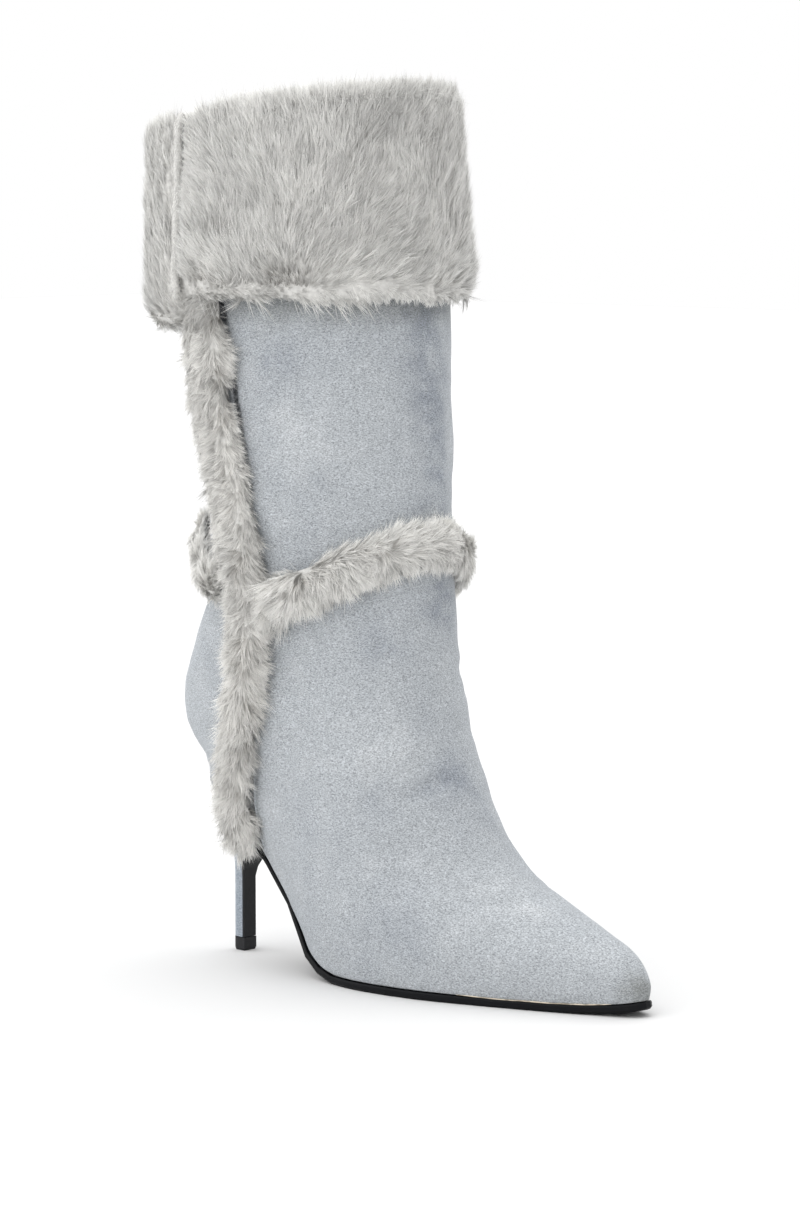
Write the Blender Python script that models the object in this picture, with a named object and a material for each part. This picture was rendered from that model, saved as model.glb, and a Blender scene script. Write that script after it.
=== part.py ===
"""Stiletto boot for a right foot: suede upper, black sole, slim covered heel and fur trims.

The frame is in metres. The origin is the centre of the heel tip's ground face, +X points to the toe,
+Y to the inner side of the foot and +Z up. Lengths below are in millimetres and are turned to metres
where the points are made.
"""

import math
from collections import namedtuple

import bmesh
import bpy
from mathutils import Vector
from mathutils.bvhtree import BVHTree

MM = 0.001

# Driving dimensions, mm
LENGTH = 212.0  # centre of the heel tip to the toe
BALL_WIDTH = 75.0  # across the sole at the ball of the foot
HEEL_RISE = 75.0  # how much higher the foot lies at the back of the heel than at the ball
INSTEP_HEIGHT = 120.0  # ground to the top of the foot over the middle of the arch
COLLAR_HEIGHT = 350.0  # ground to the shaft's top edge, about its middle
CALF_WIDTH = 102.0  # across the shaft at its top edge
WALL = 2.0  # suede and lining together
GAP = 0.3  # between pieces that touch

# Outsole and insole
SOLE_THICK = 3.2  # under the forefoot
WAIST_THICK = 2.2  # under the arch
SOLE_PROUD = 0.8  # the sole's edge beyond the upper's wall
TREAD = SOLE_THICK + GAP  # height of the upper's lower edge where the sole lies on the ground
INSOLE_THICK = 1.8
INSOLE_CLEAR = 0.9  # from the insole's edge to the wall

# Heel
TIP_THICK = 5.5  # height of the top piece
STEM_HALF = 3.5  # half the stem's width
STEM_FRONT = 1.9  # from the stem's centre to its flat front
STEM_BACK = 0.7  # from the stem's centre back to the centre of its round back
STEM_TOP_FRONT = 31.0  # height at which the front of the taper has become the stem
STEM_TOP_BACK = 37.0  # the same at the back
HEEL_LEVELS = 6  # outlines between the seat and the stem
BREAST_THICK = 0.8  # black cover on the heel's front

# Fur
FUR_SEAT = 0.5  # from the fur's backing to the suede
CUFF_HEM = 273.0  # height of the cuff's hem
CUFF_REAR_HEM = 261.0  # the same of its rear panel
CUFF_PILE_FRONT = 4.5  # fur depth under the cuff's top roll, at the front
CUFF_PILE_BACK = 8.0  # the same at the back
CUFF_FLARE = 5.0  # extra depth at the hem
CUFF_ROLL = 8.0  # fur above the top edge
CUFF_TURN_IN = 24.0  # length of the fur inside the shaft
CUFF_INNER_PILE = 6.0  # its depth
CUFF_INNER_SEAT = 1.1  # from its backing to the wall, which is flat between its edges
CUFF_SEAM = 106.0  # degrees from the front to the seam between the cuff's two panels
TRIM_HALF = 9.5  # half the width of the strip and of the band
TRIM_PILE = 9.0  # their fur depth
BAND_BACK = 0.75  # the band's size at the back as a share of that at the front
STRIP_HANG = 17.0  # how far the strip's lowest hairs hang below the last point on the suede
STRIP_OFF = 62.0  # the height where the strip leaves the suede
LOCK_DEPTH = 2.2  # how far a lock stands out
LOCK_LENGTH = 24.0

# The last, from the toe back to the heel and then up the shaft. Each section is a plane through a
# bottom point and a top point: under the foot the bottom point is on the sole, above the heel it is
# on the back seam. In FOOT the columns are hundredths: bottom_x and top_x of LENGTH, rise of
# HEEL_RISE above the tread, top_z of INSTEP_HEIGHT, and the rest of BALL_WIDTH. lat and med are the
# half-widths to the outer and the inner side, edge_lat and edge_med those of the open lower edge.
# wide is how far up the section is widest, full is how it swells to there, from 100 for straight to
# 200 for round, ridge moves its top to the inner side, and mid all of it.
FootRow = namedtuple("FootRow", "bottom_x rise top_x top_z lat med edge_lat edge_med wide full ridge mid")
FOOT = [
    #        bx    rise  tx    tz    lat  med  e_lat e_med wide full ridge mid
    FootRow(100.1, 3.9, 100.5, 8.8, 1.0, 1.0, 0.8, 0.8, 45, 170, 0.0, 4.8),
    FootRow(99.4, 3.5, 100.1, 12.1, 5.5, 5.5, 5.1, 5.1, 45, 150, 0.0, 4.7),
    FootRow(97.2, 2.3, 98.3, 16.7, 10.0, 9.7, 9.2, 8.9, 42, 120, 0.4, 4.4),
    FootRow(92.9, 1.1, 94.6, 21.7, 15.2, 15.2, 13.9, 13.9, 38, 105, 0.8, 4.0),
    FootRow(86.3, 0.3, 88.2, 26.7, 22.4, 24.0, 20.8, 22.4, 34, 100, 1.6, 3.2),
    FootRow(77.8, 0.0, 80.2, 32.0, 29.9, 35.3, 28.0, 33.6, 32, 100, 2.7, 2.3),
    FootRow(68.4, 0.0, 71.5, 38.5, 37.6, 45.5, 35.5, 43.5, 32, 100, 3.5, 1.3),
    FootRow(58.0, 0.0, 63.2, 48.5, 44.8, 52.0, 42.4, 50.0, 32, 100, 3.5, 0.5),
    FootRow(45.8, 0.0, 57.0, 62.0, 48.7, 51.0, 44.7, 45.0, 34, 100, 3.0, 0.0),
    FootRow(36.8, 0.4, 54.0, 74.5, 50.7, 50.0, 41.3, 36.7, 36, 100, 2.5, 0.0),
    FootRow(29.2, 9.3, 52.1, 87.0, 50.7, 49.3, 36.0, 30.0, 40, 100, 2.0, 0.0),
    FootRow(21.7, 33.3, 51.2, 100.5, 50.0, 48.0, 27.3, 25.3, 44, 108, 1.5, 0.0),
    FootRow(10.4, 70.7, 50.7, 115.0, 49.3, 47.3, 27.3, 26.7, 48, 112, 1.0, 0.0),
    FootRow(4.2, 84.7, 50.7, 126.5, 48.7, 46.7, 29.9, 29.9, 50, 125, 0.5, 0.0),
    FootRow(-0.7, 93.7, 50.7, 136.0, 48.7, 46.7, 24.8, 24.8, 50, 155, 0.0, 0.0),
    FootRow(-3.8, 98.4, 50.6, 142.5, 48.7, 47.3, 13.3, 13.3, 50, 190, 0.0, 0.0),
    FootRow(-4.7, 100.0, 50.5, 149.0, 49.3, 48.0, 0.0, 0.0, 50, 260, 0.0, 0.0),
]
# In SHAFT bottom_x and top_x are hundredths of LENGTH, the heights of COLLAR_HEIGHT and the
# half-widths of CALF_WIDTH.
ShaftRow = namedtuple("ShaftRow", "bottom_x bottom_z top_x top_z lat med full")
SHAFT = [
    ShaftRow(-9.0, 25.1, 50.5, 54.3, 36.8, 35.8, 210),
    ShaftRow(-11.1, 29.7, 50.5, 57.4, 37.7, 36.8, 200),
    ShaftRow(-9.2, 35.2, 50.5, 60.9, 38.7, 38.2, 200),
    ShaftRow(-4.7, 41.7, 50.5, 64.6, 40.2, 39.7, 200),
    ShaftRow(-2.8, 48.6, 50.4, 68.6, 41.7, 41.2, 200),
    ShaftRow(-4.2, 58.6, 49.8, 74.9, 43.6, 43.6, 200),
    ShaftRow(-6.8, 71.4, 49.1, 82.9, 46.1, 46.1, 200),
    ShaftRow(-9.9, 85.7, 48.4, 92.9, 48.5, 48.5, 200),
    ShaftRow(-12.3, 96.6, 47.9, 101.3, 50.0, 50.0, 200),
]
BREAST = 12  # the section over the heel's front
HEEL_BACK = 16  # the section where the open lower edge ends at the back of the heel
ANKLE = 22  # from here up the sections are far apart
LOWER_SEGMENTS = 6  # from the lower edge to the widest point
UPPER_SEGMENTS = 8  # from there to the ridge

# Centre line of the fur strip down the outer side, mm
StripPoint = namedtuple("StripPoint", "z x")
STRIP = [
    StripPoint(262, 29.0),
    StripPoint(235, 29.0),
    StripPoint(205, 31.0),
    StripPoint(176, 37.0),
    StripPoint(148, 41.0),
    StripPoint(122, 38.0),
    StripPoint(100, 33.5),
    StripPoint(78, 26.0),
    StripPoint(62, 21.5),
    StripPoint(46, 21.5),
]

Section = namedtuple("Section", "bottom_x bottom_z top_x top_z lat med edge_lat edge_med wide full ridge mid")


def foot_section(row):
    """A section in millimetres from a row of FOOT."""
    lengthwise = LENGTH / 100
    across = BALL_WIDTH / 100
    return Section(
        row.bottom_x * lengthwise,
        TREAD + row.rise * HEEL_RISE / 100,
        row.top_x * lengthwise,
        row.top_z * INSTEP_HEIGHT / 100,
        row.lat * across,
        row.med * across,
        row.edge_lat * across,
        row.edge_med * across,
        row.wide / 100,
        row.full / 100,
        row.ridge * across,
        row.mid * across,
    )


def shaft_section(row):
    """A section in millimetres from a row of SHAFT."""
    return Section(
        row.bottom_x * LENGTH / 100,
        row.bottom_z * COLLAR_HEIGHT / 100,
        row.top_x * LENGTH / 100,
        row.top_z * COLLAR_HEIGHT / 100,
        row.lat * CALF_WIDTH / 100,
        row.med * CALF_WIDTH / 100,
        edge_lat=0.0,
        edge_med=0.0,
        wide=0.5,
        full=row.full / 100,
        ridge=0.0,
        mid=0.0,
    )


LAST = [foot_section(row) for row in FOOT] + [shaft_section(row) for row in SHAFT]
SEAT_HALF = max(row.edge_lat for row in LAST[BREAST:HEEL_BACK])
ANKLE_HALF = LAST[ANKLE].lat
COLLAR = LAST[-1]
Oval = namedtuple("Oval", "middle_x half_x half_y")  # a level outline round the shaft
COLLAR_OVAL = Oval(
    (COLLAR.top_x + COLLAR.bottom_x) / 2,
    (COLLAR.top_x - COLLAR.bottom_x) / 2,
    COLLAR.lat,
)


def blend(a, b, share):
    """The value a share of the way from a to b."""
    return a + (b - a) * share


def ease(share):
    """Turns a share into one that starts and stops gently."""
    share = min(1.0, max(0.0, share))
    return share * share * (3 - 2 * share)


def curve_through(a, b, c, d, share):
    """The value a share of the way from b to c on a smooth curve through a, b, c and d."""
    return b + 0.5 * share * (c - a + share * (2 * a - 5 * b + 4 * c - d + share * (3 * (b - c) + d - a)))


def section_at(place):
    """The section at a place along the last, where whole numbers are rows of the tables."""
    row = min(int(place), len(LAST) - 2)
    near = [LAST[min(max(row + offset, 0), len(LAST) - 1)] for offset in (-1, 0, 1, 2)]
    section = Section(*[curve_through(*column, place - row) for column in zip(*near)])
    is_open = place <= HEEL_BACK
    return section._replace(
        bottom_z=max(section.bottom_z, TREAD),
        edge_lat=max(section.edge_lat, 0.0) if is_open else 0.0,
        edge_med=max(section.edge_med, 0.0) if is_open else 0.0,
    )


def seat_side(place):
    """How squarely the lower edge faces sideways: 1 along the foot, falling to 0 at the back of the seat."""
    if place <= BREAST + 1:
        return 1.0
    return min(1.0, section_at(place).edge_lat / SEAT_HALF)


def inset_section(place, inset):
    """The same section drawn in by a wall's thickness on every side but the open lower edge."""
    s = section_at(place)
    toe = max(0.0, 1 - place / 3)
    keep = 0.3
    side = seat_side(place)
    back = math.sqrt(1 - side * side)
    length = math.hypot(s.top_x - s.bottom_x, s.top_z - s.bottom_z)
    along_x = (s.top_x - s.bottom_x) / length
    along_z = (s.top_z - s.bottom_z) / length
    step = min(inset, (1 - keep) * length)
    closed = min(1.0, max(0.0, place - HEEL_BACK))
    return s._replace(
        bottom_x=s.bottom_x - inset * toe + inset * blend(back, along_x, closed),
        bottom_z=s.bottom_z + inset * closed * along_z,
        top_x=s.top_x - inset * toe - step * along_x,
        top_z=s.top_z - step * along_z,
        lat=max(keep * s.lat, s.lat - inset),
        med=max(keep * s.med, s.med - inset),
        edge_lat=max(keep * s.edge_lat, s.edge_lat - inset * side),
        edge_med=max(keep * s.edge_med, s.edge_med - inset * side),
    )


def half_outline(s, half, edge, finer):
    """(share of the way up, half-width) from the lower edge to the ridge."""
    lower = LOWER_SEGMENTS * finer
    upper = UPPER_SEGMENTS * finer
    points = []
    for i in range(lower):
        angle = math.pi / 2 * i / lower
        width = edge + (half - edge) * math.sin(angle) ** (2 / s.full)
        points.append((s.wide * (1 - math.cos(angle)), width))
    for i in range(upper + 1):
        angle = math.pi / 2 * i / upper
        points.append((blend(s.wide, 1, math.sin(angle)), half * math.cos(angle)))
    return points


def section_points(s, finer=1):
    """The section from its outer lower edge over the ridge to its inner lower edge, in metres."""
    outer = half_outline(s, s.lat, s.edge_lat, finer)
    inner = half_outline(s, s.med, s.edge_med, finer)
    points = []
    for side, outline in ((-1, outer), (1, inner[-2::-1])):
        for up, half in outline:
            x = blend(s.bottom_x, s.top_x, up)
            y = s.mid + s.ridge * up * up + side * half
            points.append(Vector((x, y, blend(s.bottom_z, s.top_z, up))) * MM)
    return points


def places(first, last):
    """The places along the last from one row to another, two for each row."""
    return [first + i / 2 for i in range(int((last - first) * 2) + 1)]


def upper_places():
    """The places of the upper's rows of points."""
    return places(0, ANKLE) + list(range(ANKLE + 1, len(LAST)))


def linear(hex_colour):
    """An sRGB hex colour as linear red, green and blue."""
    channels = [int(hex_colour[i : i + 2], 16) / 255 for i in (0, 2, 4)]
    return [c / 12.92 if c <= 0.04045 else ((c + 0.055) / 1.055) ** 2.4 for c in channels]


def new_object(name, fill, colour, roughness):
    """Makes one named object from a function that fills a bmesh, with its own material."""
    made = bmesh.new()
    fill(made)
    bmesh.ops.remove_doubles(made, verts=made.verts, dist=0.02 * MM)
    bmesh.ops.recalc_face_normals(made, faces=made.faces)
    mesh = bpy.data.meshes.new(name)
    made.to_mesh(mesh)
    made.free()
    mesh.shade_smooth()
    mesh.set_sharp_from_angle(angle=math.radians(40))
    obj = bpy.data.objects.new(name, mesh)
    bpy.context.scene.collection.objects.link(obj)
    material = bpy.data.materials.new(name)
    material.use_nodes = True
    shader = material.node_tree.nodes["Principled BSDF"]
    shader.inputs["Base Color"].default_value = (*linear(colour), 1)
    shader.inputs["Roughness"].default_value = roughness
    mesh.materials.append(material)
    return obj


def add_rows(made, rows):
    """The vertices for rows of points."""
    return [[made.verts.new(point) for point in row] for row in rows]


def join_rows(made, first, second, around=False):
    """Adds faces between two rows of vertices of the same length, all the way round if asked."""
    for i in range(len(first) if around else len(first) - 1):
        j = (i + 1) % len(first)
        made.faces.new((first[i], first[j], second[j], second[i]))


def add_grid(made, rows, around=False):
    """Adds a surface through rows of points, and returns its rows of vertices."""
    verts = add_rows(made, rows)
    for low, high in zip(verts, verts[1:]):
        join_rows(made, low, high, around)
    return verts


def add_cap(made, ring):
    """Closes a ring of vertices with a fan round its middle."""
    middle = sum((vert.co for vert in ring), Vector()) / len(ring)
    centre = made.verts.new(middle)
    for i, vert in enumerate(ring):
        made.faces.new((vert, ring[(i + 1) % len(ring)], centre))


def make_upper(made):
    """The hollow upper: an outer and an inner skin joined at the lower edge, the toe and the collar."""
    outer = add_grid(made, [section_points(section_at(place)) for place in upper_places()])
    inner = add_grid(made, [section_points(inset_section(place, WALL)) for place in upper_places()])
    open_rows = HEEL_BACK * 2 + 1
    for column in (0, -1):
        edges = [[row[column] for row in rows[:open_rows]] for rows in (outer, inner)]
        join_rows(made, *edges)
    join_rows(made, outer[-1], inner[-1])
    made.faces.new(outer[0])
    made.faces.new(inner[0])
    made.faces.new((outer[0][0], outer[0][-1], inner[0][-1], inner[0][0]))


def smooth_skin():
    """The upper's outer skin with many more points round it, for the fur to be laid on."""
    finer = 4
    rows = [section_points(section_at(place), finer) for place in upper_places()]
    points = [point for row in rows for point in row]
    across = len(rows[0])
    faces = []
    for low in range(0, len(points) - across, across):
        for i in range(low, low + across - 1):
            faces.append((i, i + 1, i + 1 + across, i + across))
    return BVHTree.FromPolygons(points, faces)


# Sole and insole


def bottom_normal(place):
    """(x, z) of the direction out of the sole's underside at a place along the last."""
    before = section_at(max(place - 0.25, 0))
    after = section_at(min(place + 0.25, HEEL_BACK))
    run_x = before.bottom_x - after.bottom_x
    run_z = before.bottom_z - after.bottom_z
    length = math.hypot(run_x, run_z)
    return run_z / length, -run_x / length


def sole_thickness(place):
    """Full thickness from the toe to the end of the tread, thinning into the arch."""
    tread_end = 9
    return blend(SOLE_THICK, WAIST_THICK, ease((place - tread_end) / 2))


def sheet_row(place, proud, drop):
    """Points across the foot at a depth under the upper's edge, from the outer to the inner side."""
    s = section_at(place)
    normal_x, normal_z = bottom_normal(place)
    toe = max(0.0, 1 - place / 2)
    side = seat_side(place)
    back = math.sqrt(1 - side * side)
    x = s.bottom_x + normal_x * drop + proud * (toe - back)
    z = s.bottom_z + normal_z * drop
    if s.bottom_z < 2 * TREAD:
        z = max(z, s.bottom_z - drop)
    grow = proud * max(side, 0.35) if s.edge_lat > 0 else 0.0
    least = 0.2
    lat = max(least, s.edge_lat + grow)
    med = max(least, s.edge_med + grow)
    return [Vector((x, s.mid + y, z)) * MM for y in (-lat, 0.0, med)]


def add_plate(made, layers):
    """A closed plate from layers of rows, each layer a list of rows across the foot."""
    grids = [add_rows(made, layer) for layer in layers]
    for layer in (grids[0], grids[-1]):
        for low, high in zip(layer, layer[1:]):
            join_rows(made, low, high)
    rings = []
    for layer in grids:
        outer_side = [row[0] for row in layer]
        inner_side = [row[-1] for row in reversed(layer)]
        rings.append(outer_side + layer[-1][1:-1] + inner_side + layer[0][1:-1])
    for upper, lower in zip(rings, rings[1:]):
        join_rows(made, upper, lower, around=True)


def make_outsole(made):
    """The sole plate from the toe to the heel's front, with a rounded lower edge."""
    clear_of_breast = 0.055
    along = places(0, BREAST - 0.5) + [BREAST - clear_of_breast]
    edge = ((0.0, 0.7), (0.2, 1.0), (0.7, 0.9), (1.0, -0.1))  # shares of the thickness and of SOLE_PROUD
    layers = []
    for down, out in edge:
        layers.append([sheet_row(p, out * SOLE_PROUD, GAP + down * sole_thickness(p)) for p in along])
    add_plate(made, layers)


def make_insole(made):
    """The sock on its board, inside the upper's wall."""
    along = places(3, HEEL_BACK - 1)
    proud = -WALL - INSOLE_CLEAR
    underside = -0.15
    drops = (underside - INSOLE_THICK, underside)
    add_plate(made, [[sheet_row(place, proud, drop) for place in along] for drop in drops])


# Heel


def seat_ring():
    """The outline of the heel's top, from the outer front corner round the back to the inner one."""
    rows = [sheet_row(p, 0.0, GAP) for p in places(BREAST, HEEL_BACK)]
    return [row[0] for row in rows] + [row[-1] for row in reversed(rows[:-1])]


def stem_ring(count, height, grow=0.0, front=STEM_FRONT):
    """A flat front, straight sides and a half-round back, as a number of points."""
    radius = STEM_HALF + grow
    straight = front + grow + STEM_BACK
    total = 2 * straight + math.pi * radius
    points = []
    for i in range(count):
        run = total * i / (count - 1)
        if run < straight:
            x, y = front + grow - run, -radius
        elif run > total - straight:
            x, y = run - (total - straight) - STEM_BACK, radius
        else:
            angle = (run - straight) / radius
            x, y = -STEM_BACK - radius * math.sin(angle), -radius * math.cos(angle)
        points.append(Vector((x, y, height)) * MM)
    return points


def heel_rings():
    """The heel's outlines from the seat down to the top piece, drawn in at different rates."""
    rate_front, rate_back, rate_sides = 2.0, 1.4, 1.6
    seat = seat_ring()
    stem = stem_ring(len(seat), 0.0)
    half = len(seat) // 2
    seat_run = seat[0].x - seat[half].x
    stem_run = stem[0].x - stem[half].x
    rings = [seat]
    for level in range(1, HEEL_LEVELS + 1):
        left = 1 - level / HEEL_LEVELS
        front_x = blend(stem[0].x, seat[0].x, left**rate_front)
        front_z = blend(STEM_TOP_FRONT * MM, seat[0].z, left)
        back_x = blend(stem[half].x, seat[half].x, left**rate_back)
        back_z = blend(STEM_TOP_BACK * MM, seat[half].z, left)
        ring = []
        for a, b in zip(seat, stem):
            back = blend((stem[0].x - b.x) / stem_run, (seat[0].x - a.x) / seat_run, left**rate_sides)
            y = blend(b.y, a.y, left**rate_sides)
            ring.append(Vector((blend(front_x, back_x, back), y, blend(front_z, back_z, back))))
        rings.append(ring)
    rings.append(stem_ring(len(seat), TIP_THICK + GAP))
    return rings


def make_heel(made):
    """The covered heel block: its seat under the upper, tapering to a slim stem."""
    rings = add_rows(made, heel_rings())
    for upper, lower in zip(rings, rings[1:]):
        join_rows(made, upper, lower, around=True)
    top = rings[0]
    half = len(top) // 2
    for i in range(half - 1):
        made.faces.new((top[i], top[i + 1], top[-2 - i], top[-1 - i]))
    made.faces.new((top[half - 1], top[half], top[half + 1]))
    add_cap(made, rings[-1])


def make_breast(made):
    """The black cover on the heel's flat front, from the sole down to the top piece."""
    rows = [(ring[0], ring[-1]) for ring in heel_rings()]
    outs = []
    for i in range(len(rows)):
        run = rows[min(i + 1, len(rows) - 1)][0] - rows[max(i - 1, 0)][0]
        outs.append(Vector((-run.z, 0, run.x)).normalized())
    layers = []
    for off in (GAP + BREAST_THICK, GAP):
        layers.append([[point + out * off * MM for point in row] for row, out in zip(rows, outs)])
    grids = [add_grid(made, layer) for layer in layers]
    for side in (0, 1):
        join_rows(made, [row[side] for row in grids[0]], [row[side] for row in grids[1]])
    for end in (0, -1):
        join_rows(made, grids[0][end], grids[1][end])


def make_top_piece(made):
    """The rubber heel tip, flat on the ground, under both the stem and its front cover."""
    front = STEM_FRONT + GAP + BREAST_THICK
    sides = 25
    levels = ((TIP_THICK, 0.1), (1.0, 0.1), (0.0, -0.3))  # height, grow
    rings = add_grid(made, [stem_ring(sides, height, grow, front) for height, grow in levels], around=True)
    add_cap(made, rings[0])
    add_cap(made, rings[-1])


# Fur


def lock_relief(along, across):
    """From 0 to 1, how far the fur stands out at a place counted in locks, down and across the pelt.

    Each lock grows outwards to its tip and is round across. Neighbouring columns are staggered.
    """
    stagger = 0.38
    column = math.floor(across)
    rise = (along + stagger * column) % 1.0
    return rise * math.sin(math.pi * (across - column)) ** 0.8


def shaft_skin(tree, angle, height, around=COLLAR_OVAL):
    """The point on the suede at an angle from the front and a height, and the direction out of the shaft."""
    x = math.cos(angle)
    y = math.sin(angle)
    out = Vector((x / around.half_x, y / around.half_y, 0)).normalized()
    on_oval = Vector((around.middle_x + around.half_x * x, around.half_y * y, height))
    far = 60
    return tree.ray_cast((on_oval + out * far) * MM, -out)[0], out


def rim_height(angle):
    """Height of the shaft's top edge at an angle from the front."""
    return blend(COLLAR.bottom_z, COLLAR.top_z, (1 + math.cos(angle)) / 2)


def seam_depth(angle):
    """1 in the seams between the cuff's front and rear panels, falling to 0 beside them."""
    seam_half = 5.0  # degrees
    return 1 - ease(abs(abs(math.degrees(angle)) - CUFF_SEAM) / seam_half)


def cuff_drop(angle):
    """How far below the top edge the hem hangs. The rear panel is longer."""
    behind = abs(math.degrees(angle)) - CUFF_SEAM
    return rim_height(angle) - blend(CUFF_HEM, CUFF_REAR_HEM, ease((behind + 1) / 3))


def join_double(made, coarse, fine):
    """Adds faces between a closed ring and one with twice as many vertices."""
    for i, vert in enumerate(coarse):
        after = coarse[(i + 1) % len(coarse)]
        left, middle, right = fine[2 * i], fine[2 * i + 1], fine[(2 * i + 2) % len(fine)]
        made.faces.new((vert, left, middle))
        made.faces.new((vert, middle, after))
        made.faces.new((after, middle, right))


def make_cuff(made, tree):
    """The turned-down fur cuff: a ring over the top edge with a short leg inside and a long one outside."""
    columns = 84
    outside_rows = 11
    angles = [math.pi * (2 * i / columns - 1) for i in range(columns)]

    def at(angle, drop, out):
        below_edge = 2.0
        rim = rim_height(angle)
        spot, outwards = shaft_skin(tree, angle, rim - max(drop, below_edge))
        return Vector((spot.x, spot.y, (rim - drop) * MM)) + outwards * out * MM

    # Backing, on every other column: up the outside of the shaft, over its edge and down inside
    inside = -WALL - CUFF_INNER_SEAT
    pile_inside = inside - CUFF_INNER_PILE
    backing = []
    for share in (1.0, 0.75, 0.5, 0.25):
        backing.append([at(angle, cuff_drop(angle) * share, FUR_SEAT) for angle in angles[::2]])
    for drop, out in (
        (-FUR_SEAT, FUR_SEAT),
        (-FUR_SEAT, inside),
        (CUFF_TURN_IN / 2, inside),
        (CUFF_TURN_IN, inside),
        (CUFF_TURN_IN + 1.5, inside - CUFF_INNER_PILE / 2),
        (CUFF_TURN_IN - 3, pile_inside),
        (CUFF_TURN_IN / 3, pile_inside),
        (-CUFF_ROLL * 0.55, blend(inside, pile_inside, 0.75)),
        (-CUFF_ROLL * 0.95, blend(inside, pile_inside, 0.1)),
    ):
        backing.append([at(angle, drop, out) for angle in angles[::2]])
    back_verts = add_grid(made, backing, around=True)

    # Fur, on every column, from the roll down the outside to the hem
    roll_share = 0.45  # of the pile left at the top of the roll, and at least at the hem
    seam_share = 0.55  # of the pile lost in a seam
    hem_lock = 5.0  # how much lower a lock hangs at the hem
    hem_taper = 2.0  # how much thinner the hem is
    fur = []
    for row in range(outside_rows + 1):
        share = row / outside_rows
        points = []
        for column, angle in enumerate(angles):
            drop = blend(-CUFF_ROLL * 0.9, cuff_drop(angle), share)
            relief = lock_relief(drop / LOCK_LENGTH, column / 2)
            pile = blend(CUFF_PILE_BACK, CUFF_PILE_FRONT, (1 + math.cos(angle)) / 2)
            pile += CUFF_FLARE * ease(share)
            if row == 0:
                pile *= roll_share
            in_seam = seam_depth(angle) * ease(3 * share)
            depth = pile * (1 - seam_share * in_seam) + LOCK_DEPTH * (relief - 0.5)
            if row == outside_rows:
                drop += hem_lock * relief
                depth = max(roll_share * pile, depth - hem_taper)
            points.append(at(angle, drop, FUR_SEAT + depth))
        fur.append(points)
    fur_verts = add_grid(made, fur, around=True)
    join_double(made, back_verts[-1], fur_verts[0])
    join_double(made, back_verts[0], fur_verts[-1])


Station = namedtuple("Station", "spot out scale seated")  # a place on a trim's centre line


def trim_ring(tree, before, station, after, index):
    """The outline across a half-round fur trim: its backing on the suede, then the fur over it."""
    run = (after.spot - before.spot).normalized()
    side = station.out.cross(run).normalized()
    out = run.cross(side)
    half = TRIM_HALF * station.scale
    pile = TRIM_PILE * station.scale
    backing = []
    edge_in = 2.0  # from the fur's edge to its backing's
    for share in (-1.0, -0.5, 0.0, 0.5, 1.0):
        spot = station.spot + side * share * (half - edge_in * station.scale) * MM
        if station.seated:
            far = 25 * MM
            spot = tree.ray_cast(spot + out * far, -out, 1.3 * far)[0] or spot
        backing.append(spot + out * FUR_SEAT * MM)
    sag = ((backing[0] + backing[-1]) / 2 - backing[2]).dot(out)
    steps = 7
    first = math.radians(14)
    edge_rise = 1.0  # height of the fur's side edges
    squareness = 0.75
    stations_to_a_lock, steps_to_a_lock = 3.4, 1.6
    fur = []
    for i in range(steps):
        angle = blend(first, math.pi - first, i / (steps - 1))
        relief = lock_relief(index / stations_to_a_lock, (i + 0.5) / steps_to_a_lock) - 0.5
        relief *= LOCK_DEPTH * station.scale
        across = math.cos(angle) * (half + relief)
        rise = edge_rise + pile * math.sin(angle) ** squareness + relief * math.sin(angle)
        fur.append(backing[2] + side * across * MM + out * (rise * MM + sag * math.cos(angle) ** 2))
    return backing + fur


def make_trim(made, tree, stations):
    """A fur trim along a list of stations, closed at both ends."""
    rings = []
    for i, station in enumerate(stations):
        before = stations[max(i - 1, 0)]
        after = stations[min(i + 1, len(stations) - 1)]
        rings.append(trim_ring(tree, before, station, after, i))
    verts = add_grid(made, rings, around=True)
    add_cap(made, verts[0])
    add_cap(made, verts[-1])


def strip_x(height):
    """Where the strip's centre line is at a height."""
    last = len(STRIP) - 1
    row = next(i for i in range(last) if height >= STRIP[i + 1].z or i == last - 1)
    near = [STRIP[min(max(row + offset, 0), last)] for offset in (-1, 0, 1, 2)]
    share = (STRIP[row].z - height) / (STRIP[row].z - STRIP[row + 1].z)
    return curve_through(*[point.x for point in near], share)


def strip_stations(tree):
    """Down the outer side from under the cuff's hem to the heel, its last hairs hanging free."""
    below_hem = 6.5
    top = CUFF_HEM - below_hem
    count = 30
    stations = []
    for i in range(count + 1):
        height = blend(top, STRIP_OFF, i / count)
        outside = Vector((strip_x(height), -2 * COLLAR.lat, height)) * MM
        spot, out = tree.ray_cast(outside, Vector((0, 1, 0)))[:2]
        stations.append(Station(spot, out, 0.8 if i == 0 else 1.0, True))
    last = stations[-1]
    down = Vector((0.02, 0.13, -1)).normalized()
    narrowing = 0.62
    for share in (0.25, 0.5, 0.75, 1.0):
        spot = last.spot + down * STRIP_HANG * share * MM
        stations.append(Station(spot, last.out, 1 - narrowing * share * share, False))
    return stations


def band_height(angle):
    """Height of the ankle band: lowest at the sides, and higher at the front and back."""
    side, front, back = 153.0, 177.0, 181.0
    lift = front - side if math.cos(angle) > 0 else back - side
    return side + lift * math.cos(angle) ** 2


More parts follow.
